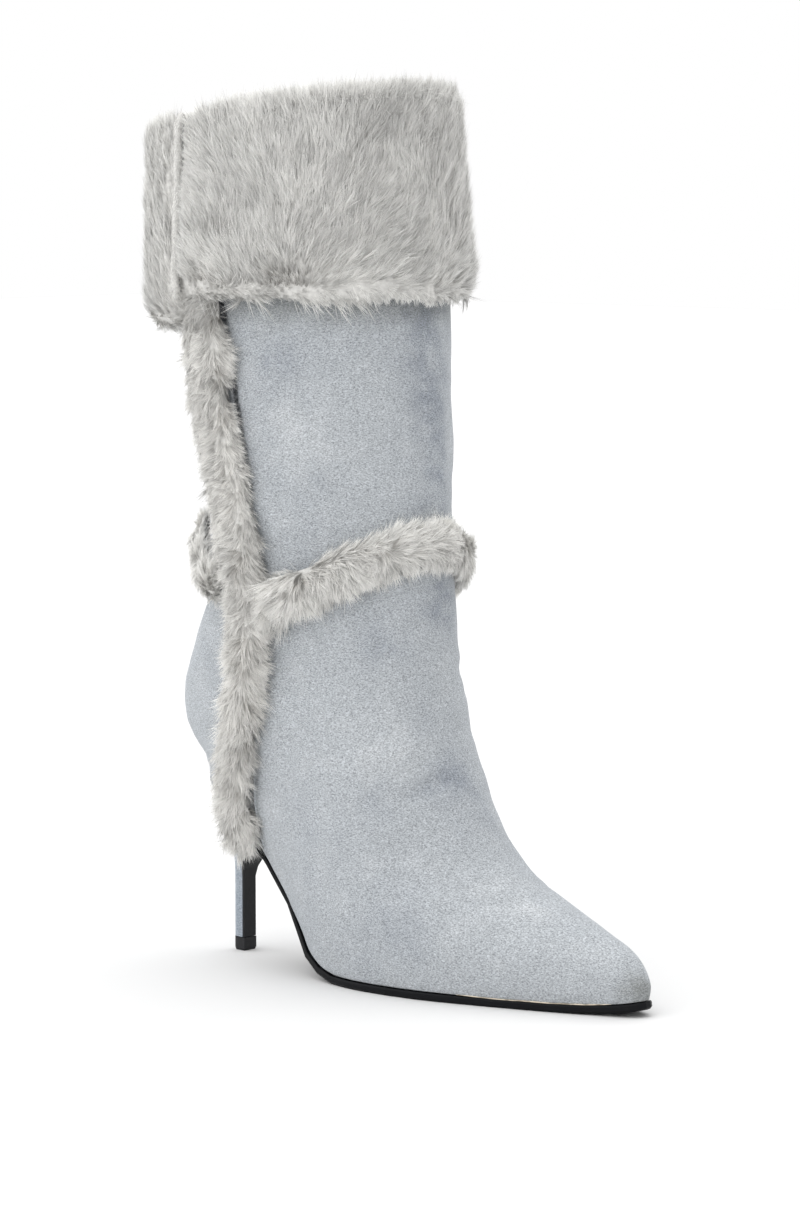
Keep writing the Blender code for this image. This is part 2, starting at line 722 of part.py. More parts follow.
def band_stations(tree):
    """Round the ankle from the strip's front edge to its rear edge, thinner at the back."""
    height = band_height(math.pi / 2)
    ends = []
    for side in (1, -1):
        outside = Vector((side * 2 * LENGTH, 0, height)) * MM
        ends.append(tree.ray_cast(outside, Vector((-side, 0, 0)))[0].x / MM)
    ankle = Oval((ends[0] + ends[1]) / 2, (ends[0] - ends[1]) / 2, ANKLE_HALF)
    clear_front, clear_back = 2.0, 3.0
    middle = strip_x(height) - ankle.middle_x
    start = -math.acos((middle + TRIM_HALF + clear_front) / ankle.half_x)
    end = -math.acos((middle - TRIM_HALF - clear_back) / ankle.half_x)
    count = 46
    angles = [blend(start, end + 2 * math.pi, i / count) for i in range(count + 1)]
    stations = []
    for angle in angles:
        level_end = min(max(angle, angles[1]), angles[-2])
        scale = blend(1.0, BAND_BACK, ease(-math.cos(angle)))
        stations.append(Station(*shaft_skin(tree, angle, band_height(level_end), ankle), scale, True))
    return stations


def main():
    for obj in list(bpy.data.objects):
        bpy.data.objects.remove(obj)
    new_object("upper", make_upper, "b6bcc1", 0.95)
    new_object("outsole", make_outsole, "2a2b2e", 0.5)
    new_object("insole", make_insole, "c9c8c4", 0.8)
    new_object("heel", make_heel, "a9b0b6", 0.95)
    new_object("heel_breast", make_breast, "2a2c31", 0.45)
    new_object("top_piece", make_top_piece, "333438", 0.6)
    tree = smooth_skin()
    new_object("fur_cuff", lambda made: make_cuff(made, tree), "babab8", 1.0)
    new_object("fur_strip", lambda made: make_trim(made, tree, strip_stations(tree)), "b6b5b2", 1.0)
    new_object("fur_band", lambda made: make_trim(made, tree, band_stations(tree)), "bcbbb8", 1.0)


main()
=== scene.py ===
"""Dresses the solids of a suede stiletto boot: brushed suede, pile fur, a satin sole and a covered heel.

Lengths in the tables are millimetres in the boot's own frame: +X to the toe, +Y to the inner side of
the foot and +Z up from the ground, with the origin under the heel.
"""

import math
from collections import namedtuple

import bmesh
import bpy
import numpy as np
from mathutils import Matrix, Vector
from mathutils.bvhtree import BVHTree


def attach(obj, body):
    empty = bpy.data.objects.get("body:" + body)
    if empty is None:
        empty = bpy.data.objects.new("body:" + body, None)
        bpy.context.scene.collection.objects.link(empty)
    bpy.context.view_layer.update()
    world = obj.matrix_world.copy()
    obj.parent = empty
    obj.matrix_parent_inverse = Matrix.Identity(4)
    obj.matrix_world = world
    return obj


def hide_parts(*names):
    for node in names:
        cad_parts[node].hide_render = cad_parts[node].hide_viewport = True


bl_info = {
    "name": "Suede stiletto boot",
    "version": (1, 0, 0),
    "blender": (4, 5, 0),
    "location": "View3D > Sidebar > Boot",
    "description": "Dresses the solids of a boot in suede, pile fur, satin sole board and rubber",
    "category": "Add Mesh",
}

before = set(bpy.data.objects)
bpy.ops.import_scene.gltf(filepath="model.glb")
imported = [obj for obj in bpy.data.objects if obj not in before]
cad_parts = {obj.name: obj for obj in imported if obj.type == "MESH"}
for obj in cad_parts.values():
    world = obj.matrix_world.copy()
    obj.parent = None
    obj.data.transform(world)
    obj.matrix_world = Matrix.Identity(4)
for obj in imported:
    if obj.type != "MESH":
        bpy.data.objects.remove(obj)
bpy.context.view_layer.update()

MM = 0.001
BODY = "root"
OUTER = -1  # the outer side of the foot, where the strip and the stitched seam are, has negative Y
ASIDE = 90.0  # how far to a side a level line starts that looks for a place on the boot

# Settings shared by shader nodes: a blend of two colours, one colour tinting another, and a sum of shares
BLEND = {"data_type": "RGBA"}
TINT = {"data_type": "RGBA", "blend_type": "MULTIPLY"}
SUM_TO_ONE = {"operation": "ADD", "use_clamp": True}

# The upper: its shaft's and ankle's middles along X, its wall, and the edge that sits in the sole
SHAFT_MIDDLE = 37.7
ANKLE_MIDDLE = 44.0
WALL = 2.0
SOLE_EDGE = 8.0
LINING_SLACK = 1.5  # how much deeper than the suede's inner face the lining stays

# The cuff: its seam in degrees round from the front, its two hems, the end of its fur inside and the
# top of its seam
CUFF_SEAM = 106.0
CUFF_HEM = 273.0
CUFF_REAR_HEM = 261.0
CUFF_TURN = 322.0
CUFF_TOP = 351.0

# Values by height, as pairs. How much fuller the cuff is than its solid behind its seam and at its
# front, and how far round its seam bows, running forwards as it rises
CUFF_FULL_BEHIND = ((262, 3.0), (275, 2.6), (300, 1.6), (320, 0.8), (345, 0.0))
CUFF_FULL_AHEAD = ((273, 1.0), (290, 0.0), (310, 0.2), (340, 0.4))
CUFF_SEAM_BOW = ((277, 2.6), (300, 0.6), (345, -1.4))

# How much wider the strip is ahead of its centre line and behind it, as shares, where its nap parts,
# in halves of its width, and how strongly the nap is combed back behind the parting and forward
# ahead of it
STRIP_WIDE_AHEAD = ((48, 1.0), (70, 0.4), (90, 0.2), (140, 0.35), (175, 0.8), (262, 0.9))
STRIP_WIDE_BEHIND = ((48, -0.35), (90, -0.25), (140, 0.0), (192, -0.05), (262, 0.24))
STRIP_PARTING = ((50, 0.8), (90, 0.65), (120, 0.5), (150, 0.5), (200, 0.7), (262, 0.8))
STRIP_COMBED_BACK = ((46, 0.1), (70, 0.35), (90, 0.7), (150, 1.0), (180, 1.2), (262, 1.0))
STRIP_COMBED_AHEAD = ((46, 0.9), (70, 0.5), (150, 0.8), (262, 1.1))

# The band's centre line at the two sides, how far it rises at the front and the back, and half its
# width, which is the strip's too
BAND_LOW = 153.0
BAND_RISE_FRONT = 24.0
BAND_RISE_BACK = 28.0
STRIP_HALF = 9.5

# Lines down the outer side, each a place along the boot for a height. The fur strip's centre line:
LinePoint = namedtuple("LinePoint", "z x")
STRIP = [
    LinePoint(262, 29.0),
    LinePoint(235, 29.0),
    LinePoint(205, 31.0),
    LinePoint(176, 37.0),
    LinePoint(148, 41.0),
    LinePoint(122, 38.0),
    LinePoint(100, 33.5),
    LinePoint(78, 26.0),
    LinePoint(62, 21.5),
    LinePoint(46, 21.5),
]

# The stitched seam of the suede in front of the strip, below the band, from its top down
SIDE_SEAM = [
    LinePoint(146, 48.0),
    LinePoint(137, 46.4),
    LinePoint(121, 43.1),
    LinePoint(104, 40.8),
    LinePoint(87, 37.2),
    LinePoint(70, 33.7),
    LinePoint(57, 32.3),
    LinePoint(48, 33.7),
]

# The dark cut edge of the strip on the suede in front of it, above the band: its dark roots and
# painted shadow in the gap along the strip's front
SHADOWED_CUT_EDGE = [
    LinePoint(272, 35.6),
    LinePoint(256, 37.8),
    LinePoint(242, 39.8),
    LinePoint(230, 41.2),
    LinePoint(216, 42.7),
    LinePoint(202, 43.9),
    LinePoint(185, 45.2),
    LinePoint(170, 48.0),
    LinePoint(155, 53.0),
]

# The band has ridden up on the outer side and slipped on the inner: how far, by the angle round from
# the front, which is negative on the inner side
Lift = namedtuple("Lift", "angle up")
BAND_LIFTS = [
    Lift(-75, 0.0),
    Lift(-40, -2.0),
    Lift(-25, -2.2),
    Lift(-3, -0.8),
    Lift(15, 2.6),
    Lift(30, 4.6),
    Lift(47, 4.8),
    Lift(67, 2.4),
    Lift(84, 0.0),
]

# The soft shaft leans back and out by LEAN, more and more between two heights above the ankle
LEAN = 1.9
LEAN_HEIGHTS = (206.0, 234.0)
LEAN_WAY = np.array([-0.74, -0.67, 0.0])

# How far the suede stands out over the instep and round the heel, by height
Swell = namedtuple("Swell", "z front back")
SWELLS = [
    Swell(22, 0.0, 0.0),
    Swell(36, -2.8, 0.0),
    Swell(46, -3.4, 0.0),
    Swell(56, -1.2, 0.0),
    Swell(66, 1.8, 0.0),
    Swell(80, 3.4, -1.8),
    Swell(89, 3.0, 1.4),
    Swell(98, 2.8, 3.2),
    Swell(106, 2.2, 2.6),
    Swell(116, 1.6, 1.6),
    Swell(130, 1.8, -0.6),
    Swell(150, 1.6, -2.4),
    Swell(166, 1.2, 0.0),
    Swell(205, 0.4, 0.0),
    Swell(226, 0.0, 0.0),
]

# Places on the cuff, by the angle round from the front and the height, where the nap is unlike the
# rest: how far round it turns in degrees, how much of its brown roots it shows and how much paler it is
Whorl = namedtuple("Whorl", "angle z wide high turn root tone")
WHORLS = [
    Whorl(56.5, 281.5, 9.0, 4.0, 0, 1.3, -0.15),
    Whorl(89.0, 281.5, 8.0, 3.5, 20, 1.0, -0.15),
    Whorl(84.0, 299.0, 5.0, 3.0, 95, 0.55, -0.25),
    Whorl(14.0, 324.0, 8.0, 5.0, -35, 0.0, 0.12),
    Whorl(22.0, 338.0, 9.0, 10.0, 20, 0.1, -0.35),
    Whorl(100.0, 318.0, 9.0, 16.0, 10, 0.0, 0.15),
]

# The cuff's nap changes from its directions below to those above between these heights, spreads
# further towards its hem, and shows bare places only below the last height
FAN_TURNS = (312, 344)
FAN_SPREADS = (302, 282)
BARE_BELOW = 292

# How far the cuff's nap leans forwards from standing up, in degrees, near its hem and near its top,
# by the angle round from the front to the outer side
Fan = namedtuple("Fan", "angle low high")
CUFF_FAN = [
    Fan(-180, 0, 0),
    Fan(-106, 30, 25),
    Fan(-42, 20, 20),
    Fan(-4, 30, 22),
    Fan(18, 30, 15),
    Fan(35, 27, 0),
    Fan(48, 15, -5),
    Fan(58, 0, -8),
    Fan(69, -15, -10),
    Fan(83, -30, -20),
    Fan(100, -36, -40),
    Fan(112, -22, -20),
    Fan(130, -22, -10),
    Fan(180, 0, 0),
]

# Soft creases of the suede on the inner side: a line from (x, z) to (x, z), as wide as half each
# way, sunk by depth. A negative depth is a ridge.
Crease = namedtuple("Crease", "x1 z1 x2 z2 half depth")
INNER_CREASES = [
    Crease(112, 128, 84, 118, 7.0, 0.9),
    Crease(114, 117, 88, 104, 6.0, -0.5),
    Crease(118, 106, 92, 92, 7.0, 0.8),
    Crease(106, 138, 76, 128, 7.0, 0.6),
    Crease(60, 122, 50, 100, 7.0, 0.6),
    Crease(92, 236, 62, 214, 12.0, 0.8),
    Crease(150, 47, 128, 24, 7.0, 0.5),
    Crease(-8, 132, 20, 126, 7.0, 0.6),
]

# The same for the front and the outer side, from one place to another
Fold = namedtuple("Fold", "start end half depth")
FOLDS = [
    Fold((106, -3.5, 276), (106.5, -4.5, 178), 7.0, 1.5),
    Fold((105.5, 7, 270), (106, 6.5, 185), 6.0, -0.5),
    Fold((107, 1, 162), (108, 2, 136), 8.0, 0.9),
    Fold((109, -23, 77), (124, 3, 89), 5.5, 2.4),
    Fold((95, -27, 91), (111, -14, 97), 9.0, -1.2),
    Fold((117, -4, 73), (126, 12, 66), 6.0, -0.7),
    Fold((145, -23, 34), (174, 3, 38), 6.5, -0.8),
    Fold((140, -21, 41), (161, 3, 43), 4.5, 1.0),
    Fold((137, -14, 49), (155, 3, 46), 5.0, -0.8),
    Fold((157, -20, 27), (181, 2, 31), 6.5, 0.7),
    Fold((54, -44.5, 243), (80, -35, 211), 8.0, -0.6),
    Fold((58, -44, 252), (74, -40, 234), 9.0, 0.6),
    Fold((68, -39, 205), (86, -32, 198), 8.0, 0.6),
    Fold((95, -32, 81), (105, -26, 73), 8.0, 0.5),
    Fold((90, -27, 143), (104, -16, 137), 8.0, 0.5),
    Fold((-6, -20, 132), (12, -30, 124), 7.0, 0.5),
]

# Slow waves of the suede: how high, how far across and the seed of each
Wave = namedtuple("Wave", "high across seed")
WAVES = [Wave(0.22, 26, 5), Wave(0.1, 11, 6)]

# Clouds round a place on the suede: paler where the nap is brushed up and as painted highlights on
# ridges, darker and bluer where the nap is flat and as painted shade in folds and under the cuff's hem
Cloud = namedtuple("Cloud", "x y z size light")
CLOUDS = [
    Cloud(74, -38, 216, 14, 0.3),
    Cloud(66, -41, 228, 9, 0.3),
    Cloud(62, -43, 249, 11, -0.35),
    Cloud(75, -36, 201, 10, -0.3),
    Cloud(106, -1, 266, 13, -0.9),
    Cloud(106, -1, 246, 11, -0.8),
    Cloud(106, -1, 228, 11, -0.7),
    Cloud(106, -1, 208, 11, -0.6),
    Cloud(106, -1, 190, 11, -0.5),
    Cloud(107, 3, 154, 11, -0.7),
    Cloud(102, -23, 96, 13, 0.5),
    Cloud(117, -10, 82, 8, -0.6),
    Cloud(109, -22, 77, 7, -0.4),
    Cloud(122, -2, 87, 9, -0.85),
    Cloud(127, 8, 77, 7, -0.6),
    Cloud(131, 10, 68, 6, -0.6),
    Cloud(100, -30, 77, 9, -0.3),
    Cloud(98, -21, 139, 10, -0.3),
    Cloud(122, 8, 68, 10, 0.4),
    Cloud(150, -18, 37, 8, 0.2),
    Cloud(164, -6, 38, 10, 0.25),
    Cloud(146, -5, 48, 9, 0.15),
    Cloud(112, -33, 34, 15, -0.25),
    Cloud(124, -28, 24, 12, -0.2),
    Cloud(86, -38, 58, 14, -0.15),
]

# The counter is the upper's back over the heel. Its lower fold is smoothed in rounds behind this
# place and between these heights
COUNTER_FRONT = 45.0
COUNTER_HEIGHTS = (83.0, 150.0)
COUNTER_ROUNDS = 14

FEATHER_SPAN = (141.0, 202.0)  # where along the boot the foil line shows
FEATHER_FADE = (14.0, 8.0)  # how far it takes to come up at its back and to go down at the toe

# How many tufts each panel of the cuff has
CUFF_CLUMPS = {"outer": 8600, "inner": 6000, "rear": 6900, "inside": 2400}

# How a coat of fur grows. Clumps are tufts of hairs that share their direction and meet at their
# tips: hairs in each, spread of their roots, pinch of their tips, and the length, width and lean of
# a hair, where lean is the angle in degrees from standing straight up.
Coat = namedtuple("Coat", "clumps hairs spread pinch length width lean wander")

# How the hairs lie at each place: their direction, their lean and length as shares of the coat's,
# how much of their brown roots they show and how much paler than the rest they are, in places as
# painted light and painted shade
Nap = namedtuple("Nap", "way lean long root tone")

# The shares of tufts painted darker, as shade deep between the others, and of hairs that stray from
# their tuft, and how far under the skin a hair's root starts
SHADED_TUFTS = 0.11
STRAY_HAIRS = 0.05
ROOT_DEPTH = 0.6

# Shares of a hair's length and of its width, from its root to its tip
HAIR_STEPS = ((0.0, 1.0), (0.52, 0.8), (1.0, 0.0))

FLOOR_HALF = 6  # metres from the floor's middle to its edges

# The soft lights, in degrees: round from the outer side towards the toe, up from the floor, and how
# wide each looks
Lamp = namedtuple("Lamp", "name azimuth elevation wide")
LAMPS = [Lamp("ceiling", 215, 72, 80), Lamp("key", -20, 38, 100)]


# ---------------------------------------------------------------------------------------------
# Sizes and colours


def colour_prop(name, description, default):
    """A colour property from an sRGB hex value."""
    return bpy.props.FloatVectorProperty(
        name=name, description=description, subtype="COLOR", size=3, min=0, max=1, default=linear(default)
    )


def length_prop(name, description, millimetres):
    """A length property in metres from millimetres."""
    return bpy.props.FloatProperty(
        name=name, description=description, subtype="DISTANCE", unit="LENGTH", min=0, default=millimetres * MM
    )


def linear(hex_colour):
    """An sRGB hex colour as linear red, green and blue."""
    channels = [int(hex_colour[i : i + 2], 16) / 255 for i in (0, 2, 4)]
    return [c / 12.92 if c <= 0.04045 else ((c + 0.055) / 1.055) ** 2.4 for c in channels]


class BootSuede(bpy.types.PropertyGroup):
    """The suede upper and its seams."""

    colour: colour_prop("Suede", "Colour of the brushed nap", "a7abaf")
    # Nap shade also colours the painted shade in folds and under the cuff's hem
    shade: colour_prop("Nap shade", "Colour where the nap lies the other way", "8d9299")
    # Nap light also colours the painted highlights on ridges
    light: colour_prop("Nap light", "Colour where the nap is brushed up", "babdc0")
    # The dirt tint also colours the painted shade under the cuff's hem
    dirt_and_shade_tint: colour_prop("Dirt", "Tint of the dirt rubbed into the toe", "a3a195")
    lining: colour_prop("Lining", "Colour of the lining leather", "c0bdb7")
    thread: colour_prop("Thread", "Colour of the stitching", "6a6b6c")
    grain: length_prop("Nap grain", "Width of one tuft of nap", 0.33)
    stitch: length_prop("Stitch", "Length of one stitch", 2.6)


class BootFur(bpy.types.PropertyGroup):
    """The fur of the cuff, the strip and the band."""

    root: colour_prop("Undercoat", "Colour at the roots", "bfbebb")
    tip: colour_prop("Tips", "Colour at the tips", "f6f6f4")
    brown: colour_prop("Brown roots", "Colour at the roots where the nap parts", "736c61")
    # The cut edge's wool is dark as the strip's roots are and as painted shadow in the gap along its edge
    shadow: colour_prop("Cut edge", "Colour of the short wool at a cut edge", "6c6e70")
    length: length_prop("Hair length", "Length of a guard hair on the cuff", 7.6)
    width: length_prop("Hair width", "Width of one drawn hair", 0.27)
    pelt: length_prop("Pelt depth", "How far the pelt lies under the tips", 2.2)


class BootSole(bpy.types.PropertyGroup):
    """The sole, the heel and its tip."""

    board: colour_prop("Sole", "Colour of the satin sole", "0e0f12")
    cover: colour_prop("Heel cover", "Colour of the suede on the heel", "939ba4")
    breast: colour_prop("Breast cover", "Colour of the heel's front", "0d0f13")
    rubber: colour_prop("Top piece", "Colour of the rubber tip", "17181b")
    feather: colour_prop("Feather line", "Colour of the metallic line above the sole", "cfc4b2")


class BootStage(bpy.types.PropertyGroup):
    """The camera, the floor and the lights."""

    azimuth: bpy.props.FloatProperty(
        name="Azimuth", description="Angle round the boot", subtype="ANGLE", default=math.radians(42)
    )
    tilt: bpy.props.FloatProperty(
        name="Tilt", description="How far the camera looks down", subtype="ANGLE", default=math.radians(6.13)
    )
    distance: length_prop("Distance", "From the camera to the boot", 1720)
    height: length_prop("Height", "Height of the camera", 330)
    aside: length_prop("Aside", "How far the camera stands to its right", 65)
    lens: bpy.props.FloatProperty(name="Lens", description="Focal length in millimetres", default=123.88)
    floor: colour_prop("Floor", "Colour of the floor", "dadada")
    ambient: bpy.props.FloatProperty(name="Ambient", description="Light from all round", default=0.9)
    ceiling: bpy.props.FloatProperty(name="Ceiling", description="Strength of the light above", default=1.6)
    key: bpy.props.FloatProperty(name="Key", description="Strength of the light to one side", default=1.35)


# ---------------------------------------------------------------------------------------------
# Helpers for materials


def add(tree, kind, settings=None, inputs=None):
    """Adds a shader node with its settings, and its inputs as values or as sockets to link from."""
    made = tree.nodes.new(kind)
    for name, value in (settings or {}).items():
        setattr(made, name, value)
    for key, value in (inputs or {}).items():
        if isinstance(value, bpy.types.NodeSocket):
            tree.links.new(value, made.inputs[key])
        else:
            made.inputs[key].default_value = value
    return made


def new_material(name, values):
    """A material with its tree and its shader, which has these values on its inputs."""
    material = bpy.data.materials.new(name)
    material.use_nodes = True
    shader = material.node_tree.nodes["Principled BSDF"]
    for key, value in values.items():
        shader.inputs[key].default_value = value
    return material, material.node_tree, shader


def rgba(colour):
    """A colour property as red, green, blue and 1."""
    return (*colour, 1.0)


def speckle(tree, shader, colour, pattern, span, tones):
    """Colours a material darker and lighter by a pattern: its values over the span give the tones."""
    spread = {0: pattern, 1: span[0], 2: span[1], 3: tones[0], 4: tones[1]}
    tone = add(tree, "ShaderNodeMapRange", None, spread)
    mixed = add(tree, "ShaderNodeMix", TINT, {0: 1.0, 6: colour, 7: tone.outputs[0]})
    tree.links.new(mixed.outputs[2], shader.inputs["Base Color"])


def suede_material(name, look, base):
    """Suede: calf split, sanded on the flesh side until a short nap stands up. It is matt, lighter
    where the nap is brushed up and bluer where it is flat, in soft clouds over a fine ribbed grain,
    with painted highlights on ridges and painted shade in folds and under the cuff's hem, and it
    picks up dirt at the toe."""
    sheen = {"Sheen Weight": 0.2, "Sheen Roughness": 0.45, "Sheen Tint": rgba(linear("e8ecf0"))}
    matt = {"Roughness": 0.92, "Specular IOR Level": 0.12}
    material, tree, shader = new_material(name, matt | sheen)
    place = add(tree, "ShaderNodeTexCoord").outputs["Object"]
    # Real nap is 0.1 mm across: it is drawn as coarse as it needs to show.
    grain = add(tree, "ShaderNodeTexNoise", None, {"Vector": place, "Scale": 1 / look.grain, "Detail": 2.0})
    # The ribs left by brushing lie level, under 1 mm apart.
    stretch = add(tree, "ShaderNodeMapping", None, {"Vector": place, "Scale": (1150, 1150, 2400)})
    rib = add(tree, "ShaderNodeTexNoise", None, {"Vector": stretch.outputs[0], "Scale": 1.0, "Detail": 1.0})
    cloud = add(tree, "ShaderNodeTexNoise", None, {"Vector": place, "Scale": 1 / 0.038, "Detail": 3.0})
    brush = add(tree, "ShaderNodeTexNoise", None, {"Vector": place, "Scale": 1 / 0.012, "Detail": 3.0})
    wear = add(tree, "ShaderNodeAttribute", {"attribute_name": "wear"})
    dirt_and_shading = add(tree, "ShaderNodeSeparateColor", None, {0: wear.outputs["Color"]})
    patch = add(tree, "ShaderNodeMapRange", None, {0: cloud.outputs["Fac"], 1: 0.48, 2: 0.72, 3: 0.0, 4: 0.3})
    # Blue adds painted shade in folds to the flat nap's clouds; green adds painted highlights to the
    # brushed-up tufts
    flat_nap_and_shade = add(tree, "ShaderNodeMath", SUM_TO_ONE, {0: patch.outputs[0], 1: dirt_and_shading.outputs[2]})
    tufts = add(tree, "ShaderNodeMapRange", None, {0: brush.outputs["Fac"], 1: 0.5, 2: 0.78, 3: 0.0, 4: 0.35})
    raised_nap_and_light = add(tree, "ShaderNodeMath", SUM_TO_ONE, {0: tufts.outputs[0], 1: dirt_and_shading.outputs[1]})
    dark = add(tree, "ShaderNodeMix", BLEND, {0: flat_nap_and_shade.outputs[0], 6: rgba(base), 7: rgba(look.shade)})
    pale = add(tree, "ShaderNodeMix", BLEND, {0: raised_nap_and_light.outputs[0], 6: dark.outputs[2], 7: rgba(look.light)})
    # Red tints dirt at the toe and painted shade under the cuff's hem
    dirtied_and_shaded = add(tree, "ShaderNodeMix", TINT, {0: dirt_and_shading.outputs[0], 6: pale.outputs[2], 7: rgba(look.dirt_and_shade_tint)})
    both = add(tree, "ShaderNodeMath", {"operation": "ADD"}, {0: rib.outputs["Fac"], 1: grain.outputs["Fac"]})
    speckle(tree, shader, dirtied_and_shaded.outputs[2], both.outputs[0], (0.66, 1.34), (0.5, 1.5))
    relief = {"Strength": 0.4, "Distance": 0.0003, "Height": both.outputs[0]}
    bump = add(tree, "ShaderNodeBump", None, relief)
    tree.links.new(bump.outputs[0], shader.inputs["Normal"])
    return material


def lining_material(look):
    """Lining leather: pigskin, smooth and plated, with small pores. It is pale and slightly glossy."""
    material, tree, shader = new_material("lining_leather", {"Roughness": 0.55})
    place = add(tree, "ShaderNodeTexCoord").outputs["Object"]
    pores = add(tree, "ShaderNodeTexVoronoi", None, {"Vector": place, "Scale": 1 / 0.0016})
    speckle(tree, shader, rgba(look.lining), pores.outputs["Distance"], (0.0, 0.5), (0.86, 1.0))
    relief = {"Strength": 0.2, "Distance": 0.0002, "Height": pores.outputs["Distance"]}
    bump = add(tree, "ShaderNodeBump", None, relief)
    tree.links.new(bump.outputs[0], shader.inputs["Normal"])
    return material


def hair_material(name, look, warmth):
    """Pile fur: sheared rabbit fur with its guard hairs left in. Each hair is woolly and greyer at its
    root and pale and silky at its tip, browner roots show where the nap parts, and whole tufts differ
    a little in tone; some tufts are painted darker as shade between the others, and in places the tone
    carries painted light and painted shade. A hair is thin enough to glow on its far side, which keeps
    the pile soft."""
    silky = {"Roughness": 0.62, "Specular IOR Level": 0.25, "Sheen Weight": 0.1}
    material, tree, shader = new_material(name, silky)
    lay = add(tree, "ShaderNodeAttribute", {"attribute_name": "lay"})
    parts = add(tree, "ShaderNodeSeparateColor", None, {0: lay.outputs["Color"]})
    root = add(tree, "ShaderNodeMix", BLEND, {0: parts.outputs[2], 6: rgba(look.root), 7: rgba(look.brown)})
    length = add(tree, "ShaderNodeMix", BLEND, {0: parts.outputs[0], 6: root.outputs[2], 7: rgba(look.tip)})
    tone = add(tree, "ShaderNodeMapRange", None, {0: parts.outputs[1], 1: 0.0, 2: 1.0, 3: 0.68, 4: 1.22})
    tuft = add(tree, "ShaderNodeMix", TINT, {0: 1.0, 6: length.outputs[2], 7: tone.outputs[0]})
    warm = add(tree, "ShaderNodeMix", TINT, {0: warmth, 6: tuft.outputs[2], 7: rgba(linear("efe6dc"))})
    tree.links.new(warm.outputs[2], shader.inputs["Base Color"])
    glow = add(tree, "ShaderNodeBsdfTranslucent", None, {"Color": warm.outputs[2]})
    hair = add(tree, "ShaderNodeMixShader", None, {0: 0.3, 1: shader.outputs[0], 2: glow.outputs[0]})
    tree.links.new(hair.outputs[0], tree.nodes["Material Output"].inputs["Surface"])
    return material


def edge_shadow_wool_material(look):
    """The cut edge of the pelt: wool cut short, dark grey as its roots are and as painted shadow in the
    gap between the strip and the suede. It is matt and dark grey, with paler flecks."""
    material, tree, shader = new_material("cut_edge_wool", {"Roughness": 0.95})
    lay = add(tree, "ShaderNodeAttribute", {"attribute_name": "lay"})
    parts = add(tree, "ShaderNodeSeparateColor", None, {0: lay.outputs["Color"]})
    speckle(tree, shader, rgba(look.shadow), parts.outputs[1], (0.2, 0.9), (0.5, 2.6))
    return material


def pelt_material(look):
    """The fur's undercoat: dense short wool on the skin, matt and greyer than the tips over it."""
    material, tree, shader = new_material("fur_undercoat", {"Roughness": 0.95})
    place = add(tree, "ShaderNodeTexCoord").outputs["Object"]
    wool = add(tree, "ShaderNodeTexNoise", None, {"Vector": place, "Scale": 1 / 0.0018, "Detail": 3.0})
    speckle(tree, shader, rgba(look.root), wool.outputs["Fac"], (0.3, 0.7), (0.95, 1.25))
    relief = {"Strength": 0.6, "Distance": 0.001, "Height": wool.outputs["Fac"]}
    bump = add(tree, "ShaderNodeBump", None, relief)
    tree.links.new(bump.outputs[0], shader.inputs["Normal"])
    return material


def board_material(name, colour, roughness, grain, shine):
    """Satin sole board: leather board, sprayed and edge-waxed, or moulded rubber. It is near black,
    with a soft even gloss broken by a fine grain and faint scuffs."""
    satin = {"Roughness": roughness, "Specular IOR Level": shine}
    material, tree, shader = new_material(name, satin)
    place = add(tree, "ShaderNodeTexCoord").outputs["Object"]
    fine = add(tree, "ShaderNodeTexNoise", None, {"Vector": place, "Scale": 1 / grain, "Detail": 3.0})
    scuff = add(tree, "ShaderNodeTexNoise", None, {"Vector": place, "Scale": 1 / 0.013, "Detail": 4.0})
    speckle(tree, shader, rgba(colour), scuff.outputs["Fac"], (0.3, 0.75), (0.85, 1.25))
    duller = {0: fine.outputs["Fac"], 1: 0.3, 2: 0.7, 3: roughness - 0.08, 4: roughness + 0.1}
    gloss = add(tree, "ShaderNodeMapRange", None, duller)
    tree.links.new(gloss.outputs[0], shader.inputs["Roughness"])
    relief = {"Strength": 0.2, "Distance": 0.0002, "Height": fine.outputs["Fac"]}
    bump = add(tree, "ShaderNodeBump", None, relief)
    tree.links.new(bump.outputs[0], shader.inputs["Normal"])
    return material


def foil_material(look):
    """Metallic foil: a champagne-coloured film pressed on the welt's edge. It is a soft-edged metal
    line, worn through in short breaks."""
    material, tree, shader = new_material("champagne_foil", {"Metallic": 1.0, "Roughness": 0.32})
    place = add(tree, "ShaderNodeTexCoord").outputs["Object"]
    wear = add(tree, "ShaderNodeTexNoise", None, {"Vector": place, "Scale": 1 / 0.004, "Detail": 2.0})
    speckle(tree, shader, rgba(look.feather), wear.outputs["Fac"], (0.35, 0.6), (0.45, 1.0))
    return material


def thread_material(look):
    """Bonded nylon thread: twisted from three strands, slightly waxy. It reads as a row of dark dashes
    with a slanting twist."""
    material, tree, shader = new_material("bonded_thread", {"Roughness": 0.5})
    place = add(tree, "ShaderNodeTexCoord").outputs["Object"]
    # Real twist is 0.5 mm long: it is drawn coarser, so that it shows.
    slant = {"Vector": place, "Scale": 1 / 0.0022, "Distortion": 0.5}
    twist = add(tree, "ShaderNodeTexWave", {"bands_direction": "DIAGONAL"}, slant)
    speckle(tree, shader, rgba(look.thread), twist.outputs["Fac"], (0.0, 1.0), (0.75, 1.15))
    return material


# ---------------------------------------------------------------------------------------------
# Helpers for shapes


def merged(node):
    """A bmesh of a CAD node with its loose triangles merged and paired into four-sided faces."""
    made = bmesh.new()
    made.from_mesh(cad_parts[node].data)
    bmesh.ops.remove_doubles(made, verts=made.verts, dist=0.01 * MM)
    bmesh.ops.join_triangles(
        made,
        faces=made.faces,
        angle_face_threshold=math.radians(45),
        angle_shape_threshold=math.radians(60),
    )
    return made


